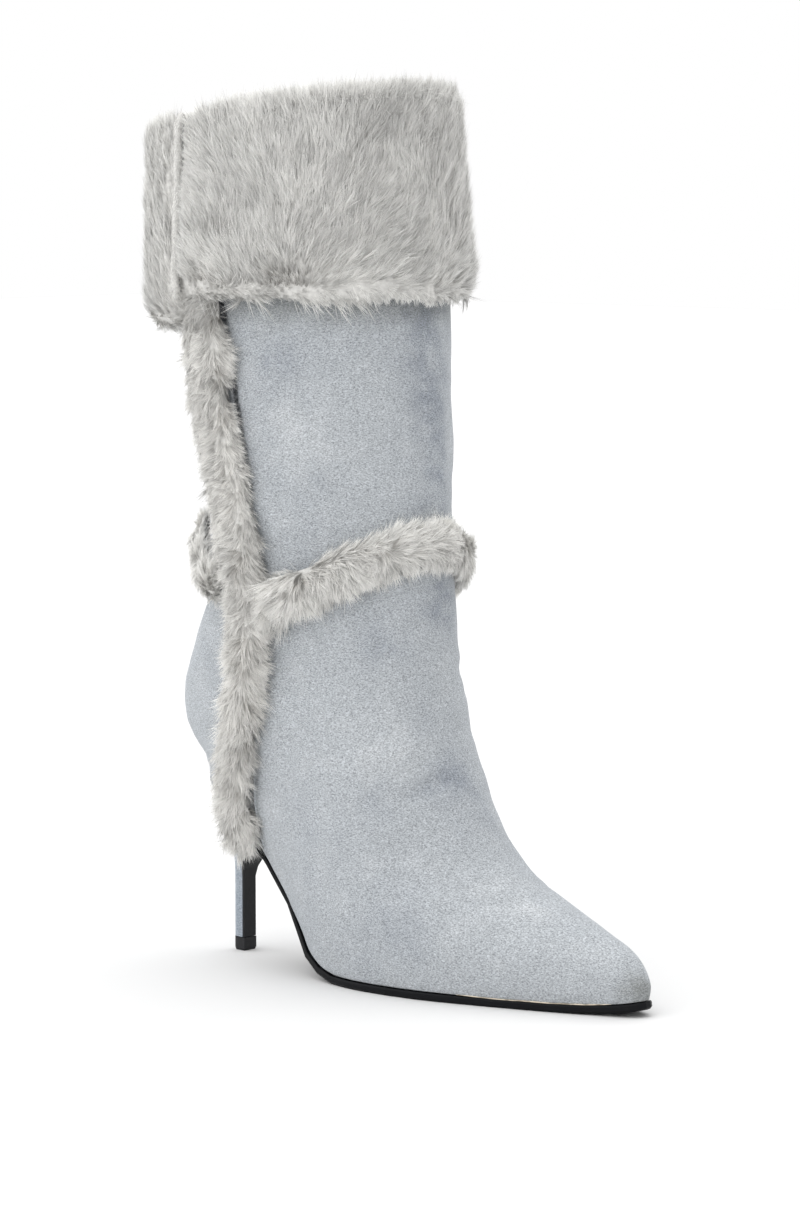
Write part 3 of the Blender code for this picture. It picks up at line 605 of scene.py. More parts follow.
def finish_piece(name, made, materials):
    """Makes a piece from a bmesh, riding on the boot, with its materials."""
    mesh = bpy.data.meshes.new(name)
    made.to_mesh(mesh)
    made.free()
    return finish_mesh(name, mesh, materials)


def finish_mesh(name, mesh, materials):
    """Makes a smooth piece from a mesh, riding on the boot, with its materials."""
    mesh.shade_smooth()
    for material in materials:
        mesh.materials.append(material)
    piece = bpy.data.objects.new(name, mesh)
    bpy.context.scene.collection.objects.link(piece)
    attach(piece, BODY)
    return piece


def subdivide(piece, levels):
    """Rounds a piece with a Subdivision Surface modifier and applies it."""
    modifier = piece.modifiers.new("round", "SUBSURF")
    modifier.levels = modifier.render_levels = levels
    graph = bpy.context.evaluated_depsgraph_get()
    mesh = bpy.data.meshes.new_from_object(piece.evaluated_get(graph))
    piece.modifiers.clear()
    piece.data = mesh
    mesh.name = piece.name


def ease(share):
    """Turns a share into one that starts and stops gently."""
    share = np.clip(share, 0, 1)
    return share * share * (3 - 2 * share)


def ramp(value, start, end):
    """From 0 at the start to 1 at the end, starting and stopping gently."""
    return ease((value - start) / (end - start))


def bell(value, middle, width):
    """1 in the middle, falling off to nothing about two widths away."""
    return np.exp(-(((value - middle) / width) ** 2))


def ripples(points, size, seed, count=14):
    """A smooth random value, mostly from -1 to 1, at each point, in hills about this size across."""
    rng = np.random.default_rng(seed)
    ways = rng.normal(size=(count, 3)) * (math.pi / size)
    phases = rng.uniform(0, 2 * math.pi, count)
    return np.sin(points @ ways.T + phases).sum(1) / math.sqrt(count)


def unit(vectors):
    """The same vectors at length 1."""
    return vectors / np.maximum(np.linalg.norm(vectors, axis=1, keepdims=True), 1e-9)


def read_off(places, table):
    """The value that a table of places and values gives at each place, straight between its rows."""
    return np.interp(places, *zip(*table))


def line_x(line, z):
    """How far along the boot a line down its side runs at each height."""
    return read_off(z, line[::-1])


def laid(ways, normals):
    """Directions laid down on the skin."""
    return ways - normals * (ways * normals).sum(1)[:, None]


def get_vectors(mesh, kind):
    """The places or the normals of a mesh's points, one row each."""
    vectors = np.empty(len(mesh.vertices) * 3)
    mesh.vertices.foreach_get(kind, vectors)
    return vectors.reshape(-1, 3)


def get_points(mesh):
    """A mesh's points in millimetres."""
    return get_vectors(mesh, "co") / MM


def get_normals(mesh):
    """A mesh's point normals."""
    return get_vectors(mesh, "normal")


def set_points(mesh, points):
    """Moves a mesh's points to these, in millimetres."""
    mesh.vertices.foreach_set("co", (points * MM).ravel())
    mesh.update()


# ---------------------------------------------------------------------------------------------
# The upper


def line_depths(points, start, end, half, wobble):
    """From 0 to 1, how near each point is to a line, fading at its ends and over half its width."""
    start, run = np.array(start, float), np.array(end, float) - np.array(start, float)
    offset = points - start
    along = np.clip(offset @ run / (run @ run), 0, 1)
    away = np.linalg.norm(offset - along[:, None] * run, axis=1)
    away = away + wobble * np.sin(along * 5 + start[0])
    return ease(1 - away / half) * (0.35 + 0.65 * np.sin(math.pi * np.clip(along, 0.03, 0.97)))


def crease_depths(points):
    """How far the creases and folds sink each point, in millimetres."""
    depths = np.zeros(len(points))
    inner = points[:, 1] > 2
    flat = points[:, [0, 2]]
    for crease in INNER_CREASES:
        start, end = (crease.x1, crease.z1), (crease.x2, crease.z2)
        depths += crease.depth * inner * line_depths(flat, start, end, crease.half, 0.8)
    for fold in FOLDS:
        depths += fold.depth * line_depths(points, fold.start, fold.end, fold.half, 0.5)
    return depths


def outer_skin(mesh):
    """True at each point of the upper that is on its outside, from where a line outwards meets nothing."""
    tree = BVHTree.FromPolygons([v.co for v in mesh.vertices], [f.vertices for f in mesh.polygons])
    clear = 0.5 * MM
    hits = (tree.ray_cast(v.co + v.normal * clear, v.normal, 150 * MM) for v in mesh.vertices)
    return np.array([hit[0] is None for hit in hits])


def leaned(points):
    """The same points with the shaft leaning as soft suede does."""
    return points + (LEAN * ramp(points[:, 2], *LEAN_HEIGHTS))[:, None] * LEAN_WAY


def swelled(points, normals):
    """How far the suede stands out at each point, over the instep and round the heel."""
    front = read_off(points[:, 2], [(row.z, row.front) for row in SWELLS])
    back = read_off(points[:, 2], [(row.z, row.back) for row in SWELLS])
    return front * ease(normals[:, 0] * 1.2) + back * ease(-normals[:, 0] * 1.2)


class BOOT_OT_upper(bpy.types.Operator):
    """Makes the suede upper with its lining, creases, clouds of nap with painted highlights and shade, and
    stitched seam
    """

    bl_idname = "boot.upper"
    bl_label = "Suede upper"

    def execute(self, context):
        look = context.scene.boot_suede
        made = merged("upper")
        suede = suede_material("brushed_suede", look, look.colour)
        upper = finish_piece("suede_upper", made, [suede, lining_material(look)])
        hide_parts("upper")
        subdivide(upper, 2)
        mesh = upper.data
        smooth_counter(mesh)
        points, normals = get_points(mesh), get_normals(mesh)
        outside = outer_skin(mesh)
        outward = normals * np.where(outside, 1, -1)[:, None]
        skin = points + outward * (WALL * ~outside)[:, None]  # the lining follows the suede over it
        sunk = crease_depths(skin)
        wave = sum(row.high * ripples(skin, row.across, row.seed) for row in WAVES)
        swell = swelled(skin, outward)
        # Where the suede goes in, the lining goes in further, so that it never shows through.
        within = np.minimum(swell, 1.5 * swell) - 1.3 * np.maximum(sunk, 0) - LINING_SLACK
        moves = np.where(outside, swell + wave - sunk, within)
        moves *= ramp(points[:, 2], SOLE_EDGE, 2 * SOLE_EDGE)  # the edge in the sole stays as it is
        set_points(mesh, leaned(points + outward * moves[:, None]))
        line_inside(mesh, outside)
        paint_dirt_and_shading(mesh)
        mesh.shade_smooth()
        stitch_seam(upper, look)
        return {"FINISHED"}


def paint_dirt_and_shading(mesh):
    """Paints the suede darker with dirt rubbed into the toe's tip, darker along the sole's edge and the
    seam's fold, and with painted shade under the cuff's hem; and paints the clouds of nap with their
    painted highlights and painted shade.
    """
    points = get_points(mesh)
    x, y, z = points.T
    tip = ramp(x, 200, 212) * ramp(z, 26, 10) * np.clip(0.6 + 0.5 * ripples(points, 7, seed=61), 0, 1)
    edge = ramp(z, 9, 4) * np.clip(0.4 + 0.5 * ripples(points, 9, seed=62), 0, 1)
    fold = bell(x - line_x(SIDE_SEAM, z), 1.0, 3.0) * (y * OUTER > 8)
    seam = fold * ramp(z, 150, 140) * ramp(z, 44, 52)
    hem = ramp(z, 262, 272)  # in the shade under the cuff
    # Dirt at the toe's tip, darker along the sole's edge and the seam's fold, painted shade under the hem
    dirt_and_shading = np.clip(0.55 * tip + 0.12 * edge + 0.3 * seam + 0.45 * hem, 0, 1)
    light = np.zeros(len(points))  # above 0 for brushed-up nap and painted highlights, below 0 for flat nap and painted shade
    for cloud in CLOUDS:
        far = np.linalg.norm(points - [cloud.x, cloud.y, cloud.z], axis=1)
        uneven = 1 + 0.5 * ripples(points, 9, seed=int(cloud.z)) + 0.3 * ripples(points, 4, seed=int(cloud.x))
        light += cloud.light * bell(far, 0, cloud.size) * uneven
    # Red: dirt and painted shade; green: brushed-up nap and painted highlights; blue: flat nap and painted
    # shade
    wear = mesh.color_attributes.new("wear", "FLOAT_COLOR", "POINT")
    colours = np.stack([dirt_and_shading, np.clip(light, 0, 1), np.clip(-light, 0, 1), np.ones(len(dirt_and_shading))], 1)
    wear.data.foreach_set("color", colours.ravel())


def surface_tree(piece):
    """A tree for finding places on a piece's surface."""
    mesh = piece.data
    return BVHTree.FromPolygons([v.co for v in mesh.vertices], [f.vertices for f in mesh.polygons])


def press(tree, starts, ways, lift):
    """The places in millimetres where lines from the starts meet a surface, raised off it by lift."""
    placed = []
    for start, way in zip(starts, ways):
        hit, normal, _, _ = tree.ray_cast(Vector(start) * MM, Vector(way))
        if hit is not None:
            placed.append(np.array(hit) / MM + np.array(normal) * lift)
    return np.array(placed)


def lay_cord(name, runs, radius, material):
    """Round cord or thread: one smooth tube along each run of points, capped at its ends."""
    curve = bpy.data.curves.new(name, "CURVE")
    curve.dimensions = "3D"
    curve.bevel_depth = radius * MM
    curve.bevel_resolution = 2
    curve.use_fill_caps = True
    for run in runs:
        spline = curve.splines.new("POLY")
        spline.points.add(len(run) - 1)
        spline.points.foreach_set("co", np.column_stack([run * MM, np.ones(len(run))]).ravel())
    holder = bpy.data.objects.new(name, curve)
    bpy.context.scene.collection.objects.link(holder)
    graph = bpy.context.evaluated_depsgraph_get()
    mesh = bpy.data.meshes.new_from_object(holder.evaluated_get(graph))
    bpy.data.objects.remove(holder)
    bpy.data.curves.remove(curve)
    mesh.name = name
    return finish_mesh(name, mesh, [material])


def even_run(points, step):
    """A run of points this far apart along the same line."""
    far = np.concatenate([[0], np.cumsum(np.linalg.norm(np.diff(points, axis=0), axis=1))])
    places = np.linspace(0, far[-1], max(2, int(round(far[-1] / step)) + 1))
    return np.stack([np.interp(places, far, points[:, i]) for i in range(3)], 1)


def stitch_seam(upper, look):
    """Sews the seam in front of the strip: a row of dark stitches and the turned edge beside it."""
    heights = np.linspace(SIDE_SEAM[0].z, SIDE_SEAM[-1].z, 60)
    tree = surface_tree(upper)
    line = from_outside(tree, line_x(SIDE_SEAM, heights), heights, 0.15)
    runs = stitches(line, look.stitch / MM / 2)
    lay_cord("side_seam_stitches", runs, 0.32, thread_material(look))
    edge = from_outside(tree, line_x(SIDE_SEAM, heights) + 1.5, heights, -0.05)
    suede = bpy.data.materials["brushed_suede"]
    lay_cord("side_seam_edge", [even_run(edge, 2.0)], 0.55, suede)


def from_outside(tree, across, heights, lift):
    """The places on a surface that level lines from the outer side meet, raised off it by lift."""
    starts = np.stack([across, np.full(len(across), ASIDE * OUTER), heights], 1)
    return press(tree, starts, np.tile([0, -OUTER, 0], (len(across), 1)), lift)


def stitches(line, length):
    """A line cut into stitches and the gaps between them, both of this length."""
    dots = even_run(line, length)
    return [dots[i : i + 2] for i in range(0, len(dots) - 1, 2)]


def smooth_counter(mesh):
    """Softens the fold where the closed back of the upper meets its open lower edge."""
    made = bmesh.new()
    made.from_mesh(mesh)
    low, high = (height * MM for height in COUNTER_HEIGHTS)
    back = [v for v in made.verts if v.co.x < COUNTER_FRONT * MM and low < v.co.z < high]
    soft = [v for v in back if not v.is_boundary]
    for _ in range(COUNTER_ROUNDS):
        bmesh.ops.smooth_vert(
            made, verts=soft, factor=0.5, use_axis_x=True, use_axis_y=True, use_axis_z=True
        )
    made.to_mesh(mesh)
    made.free()


def line_inside(mesh, outside):
    """Gives the lining's material to the faces inside the shaft and the foot."""
    for face in mesh.polygons:
        face.material_index = 0 if sum(outside[i] for i in face.vertices) * 2 >= len(face.vertices) else 1


# ---------------------------------------------------------------------------------------------
# Fur


def make_pelt(name, node, shape, material):
    """The fur's skin: the CAD form, rounded and moved by a function of its points and normals."""
    made = merged(node)
    pelt = finish_piece(name, made, [material])
    subdivide(pelt, 1)
    mesh = pelt.data
    set_points(mesh, leaned(shape(get_points(mesh), get_normals(mesh))))
    mesh.shade_smooth()
    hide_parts(node)
    return pelt


def scatter(mesh, count, rng, weigh):
    """Random places on a mesh: their points in millimetres and the normals there."""
    mesh.calc_loop_triangles()
    corners = np.empty(len(mesh.loop_triangles) * 3, np.int32)
    mesh.loop_triangles.foreach_get("vertices", corners)
    corners = corners.reshape(-1, 3)
    points, normals = get_points(mesh), get_normals(mesh)
    a, b, c = (points[corners[:, i]] for i in range(3))
    sizes = np.linalg.norm(np.cross(b - a, c - a), axis=1)
    weights = sizes * weigh((a + b + c) / 3, unit(normals[corners].sum(1)))
    chosen = rng.choice(len(corners), count, p=weights / weights.sum())
    u, v = rng.random((2, count))
    over = u + v > 1
    u[over], v[over] = 1 - u[over], 1 - v[over]
    shares = np.stack([1 - u - v, u, v], 1)[:, :, None]
    return (points[corners[chosen]] * shares).sum(1), unit((normals[corners[chosen]] * shares).sum(1))


def turned(way, across, degrees):
    """Directions turned round by these degrees towards the directions across them."""
    turn = np.radians(degrees)[:, None]
    return way * np.cos(turn) + across * np.sin(turn)


def grow_hairs(name, pelt, coat, comb, weigh, seed, material):
    """Grows one coat of hairs on a pelt as one piece of thin tapered blades, combed by a function of
    place and normal. The blades' normals follow the pelt's, so the coat takes the light as one fur."""
    rng = np.random.default_rng(seed)
    centre, normal = scatter(pelt.data, coat.clumps, rng, weigh)
    nap = comb(centre, normal)
    # Tufts: each has its own direction, tone, lift and length, and takes the light its own way.
    way = turned(nap.way, np.cross(normal, nap.way), coat.wander * rng.normal(size=coat.clumps))
    # A share of tufts is painted darker, as shade deep between the others.
    shaded = rng.random(coat.clumps) < SHADED_TUFTS
    tone = 0.54 + 0.18 * rng.normal(size=coat.clumps) - 0.42 * shaded + nap.tone
    lift = rng.normal(size=coat.clumps) * 6
    long = nap.long * (1 + 0.12 * rng.normal(size=coat.clumps))
    facing = unit(normal + 0.2 * rng.normal(size=(coat.clumps, 3)))

    def each(values):
        """The clumps' values, one for each hair."""
        return np.repeat(values, coat.hairs, axis=0)

    # Hairs: their roots spread round the tuft's middle, their tips meet, and a few stray from it.
    count = coat.clumps * coat.hairs
    centre, normal, way, facing = each(centre), each(normal), each(way), each(facing)
    across = np.cross(normal, way)
    far = coat.spread * np.sqrt(rng.random(count))
    bearing = rng.uniform(0, 2 * math.pi, count)
    offset = way * (far * np.cos(bearing))[:, None] + across * (far * np.sin(bearing))[:, None]
    stray = rng.random(count) < STRAY_HAIRS
    way = turned(way, across, rng.normal(size=count) * np.where(stray, 26, 6))
    across = np.cross(normal, way)
    leans = each(coat.lean * nap.lean + lift) + rng.normal(size=count) * 4 - stray * 8
    leans = np.radians(np.clip(leans, 8, 87))
    length = coat.length * each(long) * (1 + 0.13 * rng.normal(size=count))
    pinch = coat.pinch * (1 - stray)
    rise, run = np.cos(leans)[:, None], np.sin(leans)[:, None]
    side = unit(across + 0.35 * rng.normal(size=count)[:, None] * normal)
    tones = np.clip(each(tone) + 0.15 * rng.normal(size=count), 0, 1)
    roots = np.clip(each(nap.root), 0, 1)
    curl = rng.normal(size=count) * 0.09

    def spine(t):
        """The middle of each hair at a share of its length."""
        gather = offset * (1 - pinch * t**1.3)[:, None]
        reach = way * (run * t + 0.22 * t * t) + normal * rise * t * (1 - 0.4 * t)
        bend = across * (length * curl * t * t)[:, None]
        return centre + gather + length[:, None] * reach + bend - normal * ROOT_DEPTH * (1 - t)

    mesh, normals = draw_blades(name, spine, side, coat.width, facing, tones, roots)
    hairs = finish_mesh(name, mesh, [material])
    mesh.normals_split_custom_set_from_vertices(normals)
    return hairs


def draw_blades(name, spine, side, wide, facing, tones, roots):
    """A mesh of thin tapered blades along the hairs' spines, which widen to their sides, and the
    normals of its points, which face where the fur does and a little round each blade's edge."""
    count = len(side)
    rows, lays, shades = [], [], []
    for t, width in HAIR_STEPS:
        middle, half = spine(t), side * (wide * width / 2)
        lay = np.stack([np.full(count, t), tones, roots, np.ones(count)], 1)
        rows += [middle - half, middle + half] if width else [middle]
        lays += [lay, lay] if width else [lay]
        shades += [unit(facing - 0.3 * side), unit(facing + 0.3 * side)] if width else [facing]
    points = np.stack(rows, 1).reshape(-1, 3)
    first = np.arange(count)[:, None] * len(rows)
    faces = (first + [0, 2, 3, 1]).tolist() + (first + [2, 4, 3]).tolist()
    mesh = bpy.data.meshes.new(name)
    mesh.from_pydata((points * MM).tolist(), [], faces)
    tint = mesh.color_attributes.new("lay", "FLOAT_COLOR", "POINT")
    tint.data.foreach_set("color", np.stack(lays, 1).ravel())
    return mesh, np.stack(shades, 1).reshape(-1, 3).tolist()


def around_shaft(points, middle_x):
    """Degrees round a level outline from the front to each point, to the outer side or the inner."""
    return np.degrees(np.arctan2(np.abs(points[:, 1]), points[:, 0] - middle_x))


def is_outer(points):
    """True on the outer side of the foot."""
    return points[:, 1] * OUTER > 0


def outer_sign(points):
    """1 on the outer side, where the level direction points to the front, and -1 on the inner."""
    return np.where(is_outer(points), 1.0, -1.0)


def level_round(points, middle_x):
    """The outward and the level directions round the shaft at each point."""
    radial = unit(np.stack([points[:, 0] - middle_x, points[:, 1], np.zeros(len(points))], 1))
    return radial, unit(np.cross([0, 0, 1], radial))


def is_inside_cuff(points, normals):
    """1 where the cuff faces into the shaft and 0 elsewhere."""
    radial, _ = level_round(points, SHAFT_MIDDLE)
    return ((radial * normals).sum(1) < -0.25).astype(float)


def cuff_shape(pelt):
    """The cuff's skin under its pile, fuller behind the seam and slimmer at the front."""

    def shape(points, normals):
        """The skin's points, moved from the solid's."""
        radial, _ = level_round(points, SHAFT_MIDDLE)
        z = points[:, 2]
        cosine = radial @ -LEAN_WAY
        out = 1 - is_inside_cuff(points, normals)
        rear = read_off(z, CUFF_FULL_BEHIND) * ease(-cosine * 1.3)
        front = read_off(z, CUFF_FULL_AHEAD) * ease(cosine * 1.3)
        angle = around_shaft(points, SHAFT_MIDDLE)
        corner = bell(angle, CUFF_SEAM, 16) * is_outer(points)
        top = ramp(normals[:, 2], 0.2, 0.8) * (2.4 * corner + 1.2)
        moves = (rear + front) * out * (1 - np.abs(normals[:, 2])) - pelt - top
        return points + normals * moves[:, None]

    return shape


def cuff_comb(points, normals):
    """The cuff's nap: up from its hem like a fan, over the top and down inside, in swirls, and turned
    down in the roll along the hem."""
    _, level = level_round(points, SHAFT_MIDDLE)
    up = unit(np.cross(normals, level))  # up outside, inwards over the top and down inside
    inside = is_inside_cuff(points, normals)
    angle = around_shaft(points, SHAFT_MIDDLE)
    z = points[:, 2]
    signed = angle * outer_sign(points)
    low = read_off(signed, [(row.angle, row.low) for row in CUFF_FAN])
    high = read_off(signed, [(row.angle, row.high) for row in CUFF_FAN])
    sweep = low + (high - low) * ramp(z, *FAN_TURNS) + 0.4 * low * ramp(z, *FAN_SPREADS)
    swirl = 13 * ripples(points, 30, seed=11) + 9 * ripples(points, 12, seed=12)
    outside = is_outer(points) * (1 - inside)
    root, tone = np.zeros(len(points)), 0.10 * ripples(points, 24, seed=13)
    for whorl in WHORLS:
        share = bell(angle, whorl.angle, whorl.wide) * bell(z, whorl.z, whorl.high) * outside
        swirl = swirl + whorl.turn * share
        root, tone = root + whorl.root * share, tone + whorl.tone * share
    seam = bell(angle, CUFF_SEAM, 5)
    rear = ramp(angle, CUFF_SEAM, CUFF_SEAM + 4)
    hem = CUFF_HEM + (CUFF_REAR_HEM - CUFF_HEM) * rear
    parting = hem + 6.0 - 2.5 * rear + 1.3 * ripples(points, 13, seed=14)
    roll = ease((parting - z) / 3.4 + 0.5) * (1 - inside)
    near = bell(z, parting, 2.5) * (1 - inside)
    over = (128 + 62 * rear) * roll
    turn = np.radians(sweep * (1 - 0.7 * roll) + swirl * (1 - 0.6 * seam) * (1 - 0.7 * roll) + over)
    way = up * np.cos(turn)[:, None] + level * np.sin(turn)[:, None]
    top = ramp(normals[:, 2], 0.25, 0.75)
    under = ramp(normals[:, 2], -0.2, -0.7) * (1 - inside)
    bare = root * (z < BARE_BELOW)
    lean = 1 + 0.12 * top + 0.14 * roll - 0.1 * near - 0.2 * under * (1 - rear) - 0.2 * bare + 0.1 * seam
    long = 1 - 0.45 * top - (0.5 - 0.2 * rear) * roll - 0.45 * bare - 0.4 * seam
    # The roll along the hem is paler, and behind the seam painted paler still as painted light against the
    # shade there
    return Nap(unit(way), lean, long, root, tone + (0.12 + 0.2 * rear) * roll + 0.12 * top)


def cuff_part(part):
    """Which places of the cuff a part of its fur grows on."""

    def weigh(points, normals):
        """How thickly the fur grows at each place, from 0 to 1."""
        inside = is_inside_cuff(points, normals)
        turned_in = inside * (points[:, 2] > CUFF_TURN)
        angle = around_shaft(points, SHAFT_MIDDLE)
        rear = angle > CUFF_SEAM
        bald = 0.98 * (np.abs(angle - CUFF_SEAM - 1.8) < 3.4) * (1 - inside)  # the welt lies here
        outer = is_outer(points)
        if part == "inside":
            return turned_in
        grown = (1 - inside) * (1 - bald)
        if part == "rear":
            return grown * rear
        return grown * ~rear * (outer if part == "outer" else ~outer)

    return weigh


def strip_shape(pelt):
    """The strip's skin, wider above the ankle and drawn up under the cuff's hem."""

    def shape(points, normals):
        """The skin's points, moved from the solid's."""
        offset = points[:, 0] - line_x(STRIP, points[:, 2])
        z = points[:, 2]
        wide = read_off(z, STRIP_WIDE_AHEAD) * (offset > 0)
        wide = wide * (1 + 0.26 * ripples(points * [0, 0, 1], 9, seed=29, count=5))  # it bulges in tufts
        wide = wide + read_off(z, STRIP_WIDE_BEHIND) * (offset < 0)
        moved = points - normals * pelt
        moved[:, 0] += offset * wide
        moved[:, 2] += 1.1 * np.maximum(z - 252, 0)
        return moved

    return shape


def strip_offset(points):
    """How far forward of the strip's centre line each point is, in halves of its width."""
    return (points[:, 0] - line_x(STRIP, points[:, 2])) / STRIP_HALF


def strip_comb(points, normals):
    """The strip's nap: back and down over its rear edge, forward at its front edge, parted along a
    wandering line, and hanging in long locks over the heel."""
    offset = strip_offset(points)
    z = points[:, 2]
    parting = read_off(z, STRIP_PARTING)
    parting = parting + 0.22 * ripples(points, 16, seed=23)
    behind = ease((parting - offset) / 0.5 + 0.5)
    back, ahead = read_off(z, STRIP_COMBED_BACK), read_off(z, STRIP_COMBED_AHEAD)
    swirl = 0.45 * ripples(points, 20, seed=21) + 0.45 * ripples(points, 8, seed=22)
    forward = ahead * (1 - behind) - back * behind + swirl
    raw = np.stack([forward, np.zeros(len(points)), np.full(len(points), -0.75)], 1)
    edge = ramp(np.abs(offset), 0.6, 1.2)
    rear = ramp(offset, -0.3, -1.0)
    low = ramp(z, 150, 110)
    tail = ramp(z, 66, 50)
    near = bell(offset, parting, 0.22)
    root = near * np.clip(0.35 + 0.5 * ripples(points, 13, seed=24), 0, 1) * (1 - tail)
    long = 1 - 0.1 * edge + 0.25 * rear + (0.3 * behind + 0.1) * low * (1 - 0.5 * tail)
    long = long * (1 + 0.22 * ripples(points, 7, seed=26))
    lean = 1 - 0.1 * rear - 0.06 * low + 0.16 * ripples(points, 9, seed=27)
    shade = 0.35 * ramp(z, 262, 270)  # under the cuff
    mottle = 0.12 * ripples(points, 18, seed=25) + 0.12 * ripples(points, 6, seed=28)
    tone = mottle - shade + 0.15 + 0.15 * low
    return Nap(unit(laid(raw, normals)), lean, long, root, tone)


def everywhere(points, normals):
    """Fur grows all over."""
    return np.ones(len(points))


def band_offset(points):
    """How far above the band's centre line each point is, in halves of its width."""
    cosine = np.cos(np.radians(around_shaft(points, ANKLE_MIDDLE)))
    rise = np.where(cosine > 0, BAND_RISE_FRONT, BAND_RISE_BACK)
    return (points[:, 2] - BAND_LOW - rise * cosine**2) / STRIP_HALF


def band_end(points):
    """1 at the band's free end, which lies over the strip on the outer side, and 0 away from it."""
    return ramp(points[:, 0], 74, 60) * is_outer(points) * (points[:, 0] > ANKLE_MIDDLE)


def band_lift(points):
    """How far the soft band has ridden up at each point: up on the outer side, down on the inner."""
    signed = around_shaft(points, ANKLE_MIDDLE) * outer_sign(points)
    return read_off(signed, BAND_LIFTS)


def band_shape(pelt):
    """The band's skin under its pile, a little deeper where it ends on the strip."""

    def shape(points, normals):
        """The skin's points, moved from the solid's."""
        moved = points - normals * pelt
        wide = 0.08 + 0.16 * band_end(points)
        moved[:, 2] += band_offset(points) * STRIP_HALF * wide + band_lift(points)
        return moved

    return shape


def band_comb(points, normals):
    """The band's nap: forwards, up along its upper edge and down along its lower edge, swinging round
    through down to lie backwards where the band ends on the strip."""
    radial, level = level_round(points, ANKLE_MIDDLE)
    offset = band_offset(points) - band_lift(points) / STRIP_HALF
    side = bell((radial @ LEAN_WAY) ** 2, 1, 0.45)  # where the band turns away, behind and inside
    forwards = (0.55 + 0.35 * ripples(points, 18, seed=31) + 0.3 * ripples(points, 8, seed=36)) * (1 - side)
    end = band_end(points)
    forwards = forwards * (1 - end) - 1.1 * end
    turn = bell(points[:, 0], 66, 9) * is_outer(points)
    up = 1.1 * np.clip(offset, -1, 1) + 0.35 * ripples(points, 11, seed=32) - 0.1 * (1 - end)
    up = up * (1 - turn) - 0.5 * end - 0.9 * turn
    raw = level * (outer_sign(points) * forwards)[:, None] + np.array([0, 0, 1]) * up[:, None]
    raw = raw - radial * (0.9 * np.clip(np.abs(offset) - 0.5, 0, 1))[:, None]
    edge = ramp(np.abs(offset), 0.6, 1.1)
    part = bell(offset - 0.2 * ripples(points, 17, seed=33), 0.15, 0.2)
    # Where the band turns away, behind and inside, it has no brown roots and is painted paler, as painted
    # light against the shade among its tufts
    root = part * np.clip(0.25 + 0.5 * ripples(points, 11, seed=34), 0, 1) * (1 - end) * (1 - side)
    tone = 0.3 + 0.2 * side + 0.1 * ripples(points, 16, seed=35) + 0.1 * ripples(points, 6, seed=37)
    long = (1 + 0.25 * end) * (1 + 0.18 * ripples(points, 7, seed=38)) * (1 - 0.2 * side)
    lean = 1 - 0.05 * edge + 0.06 * end - 0.36 * side + 0.14 * ripples(points, 9, seed=39)
    return Nap(unit(laid(raw, normals)), lean, long, root, tone)


class BOOT_OT_cuff(bpy.types.Operator):
    """Makes the fur cuff: its pelt, its hairs in panels, the welt of its seam and the wisps at its hem"""

    bl_idname = "boot.cuff"
    bl_label = "Fur cuff"

    def execute(self, context):
        look = context.scene.boot_fur
        length, width = look.length / MM, look.width / MM
        wool = pelt_material(look)
        pelt = make_pelt("cuff_pelt", "fur_cuff", cuff_shape(look.pelt / MM), wool)
        hair = hair_material("cuff_pile_fur", look, 0.05)
        coat = Coat(clumps=0, hairs=7, spread=0.95, pinch=0.75, length=length, width=width, lean=68, wander=9)
        for seed, (part, clumps) in enumerate(CUFF_CLUMPS.items(), 101):
            name, coat = f"cuff_hairs_{part}", coat._replace(clumps=clumps)
            grow_hairs(name, pelt, coat, cuff_comb, cuff_part(part), seed, hair)
        wisps = Coat(clumps=60, hairs=4, spread=0.5, pinch=0.7, length=7.5, width=width, lean=78, wander=16)
        grow_hairs("cuff_hem_wisps", pelt, wisps, wisp_comb, cuff_hem, 111, hair)
        sew_cuff(pelt, context.scene.boot_suede, wool, hair, width)
        return {"FINISHED"}


def cuff_hem(points, normals):
    """The lower edge of the cuff's front panel."""
    angle = around_shaft(points, SHAFT_MIDDLE)
    low = (points[:, 2] < CUFF_HEM + 3) & (angle > 22) & (angle < CUFF_SEAM - 4)
    return low * (1 - is_inside_cuff(points, normals)) * (normals[:, 2] > -0.75)


def wisp_comb(points, normals):
    """The wisps at the hem: down and forward over the suede."""
    _, level = level_round(points, SHAFT_MIDDLE)
    raw = level * (0.75 * outer_sign(points))[:, None] - np.array([0, 0, 1.0])
    even = np.ones(len(points))
    return Nap(unit(raw), even, even, 0 * even, 0.3 * even)


def sew_cuff(pelt, suede, wool, hair, width):
    """Makes the seam between the cuff's panels: a rolled welt with short pile, and the dark stitched
    line in front of it, on both sides of the shaft."""
    tree = surface_tree(pelt)
    thread = thread_material(suede)
    heights = np.linspace(CUFF_HEM + 4, CUFF_TOP, 40)
    bow = read_off(heights, CUFF_SEAM_BOW)
    welts, lines = [], []
    for way in (-1, 1):
        # degrees behind the seam, and how far the run's middle lies off the skin
        for runs, behind, lift in ((welts, 2.6, 2.7), (lines, -0.4, 1.9)):
            turn = np.radians(CUFF_SEAM + behind + bow)
            radial = np.stack([np.cos(turn), way * np.sin(turn), 0 * turn], 1)
            middle = np.stack([0 * turn + SHAFT_MIDDLE, 0 * turn, heights], 1)
            placed = press(tree, middle + radial * 120, -radial, lift)
            near = placed[:, 1] * way > 20  # not across the shaft's opening
            runs.append(even_run(placed[near], 2.0))
    welt = lay_cord("cuff_seam_welt", welts, 1.8, wool)
    pile = Coat(clumps=2600, hairs=4, spread=0.5, pinch=0.3, length=1.8, width=width, lean=80, wander=10)
    grow_hairs("cuff_welt_pile", welt, pile, welt_comb, everywhere, 112, hair)
    dashes = [dash for line in lines for dash in stitches(line, 1.1)]
    lay_cord("cuff_seam_stitches", dashes, 0.2, thread)


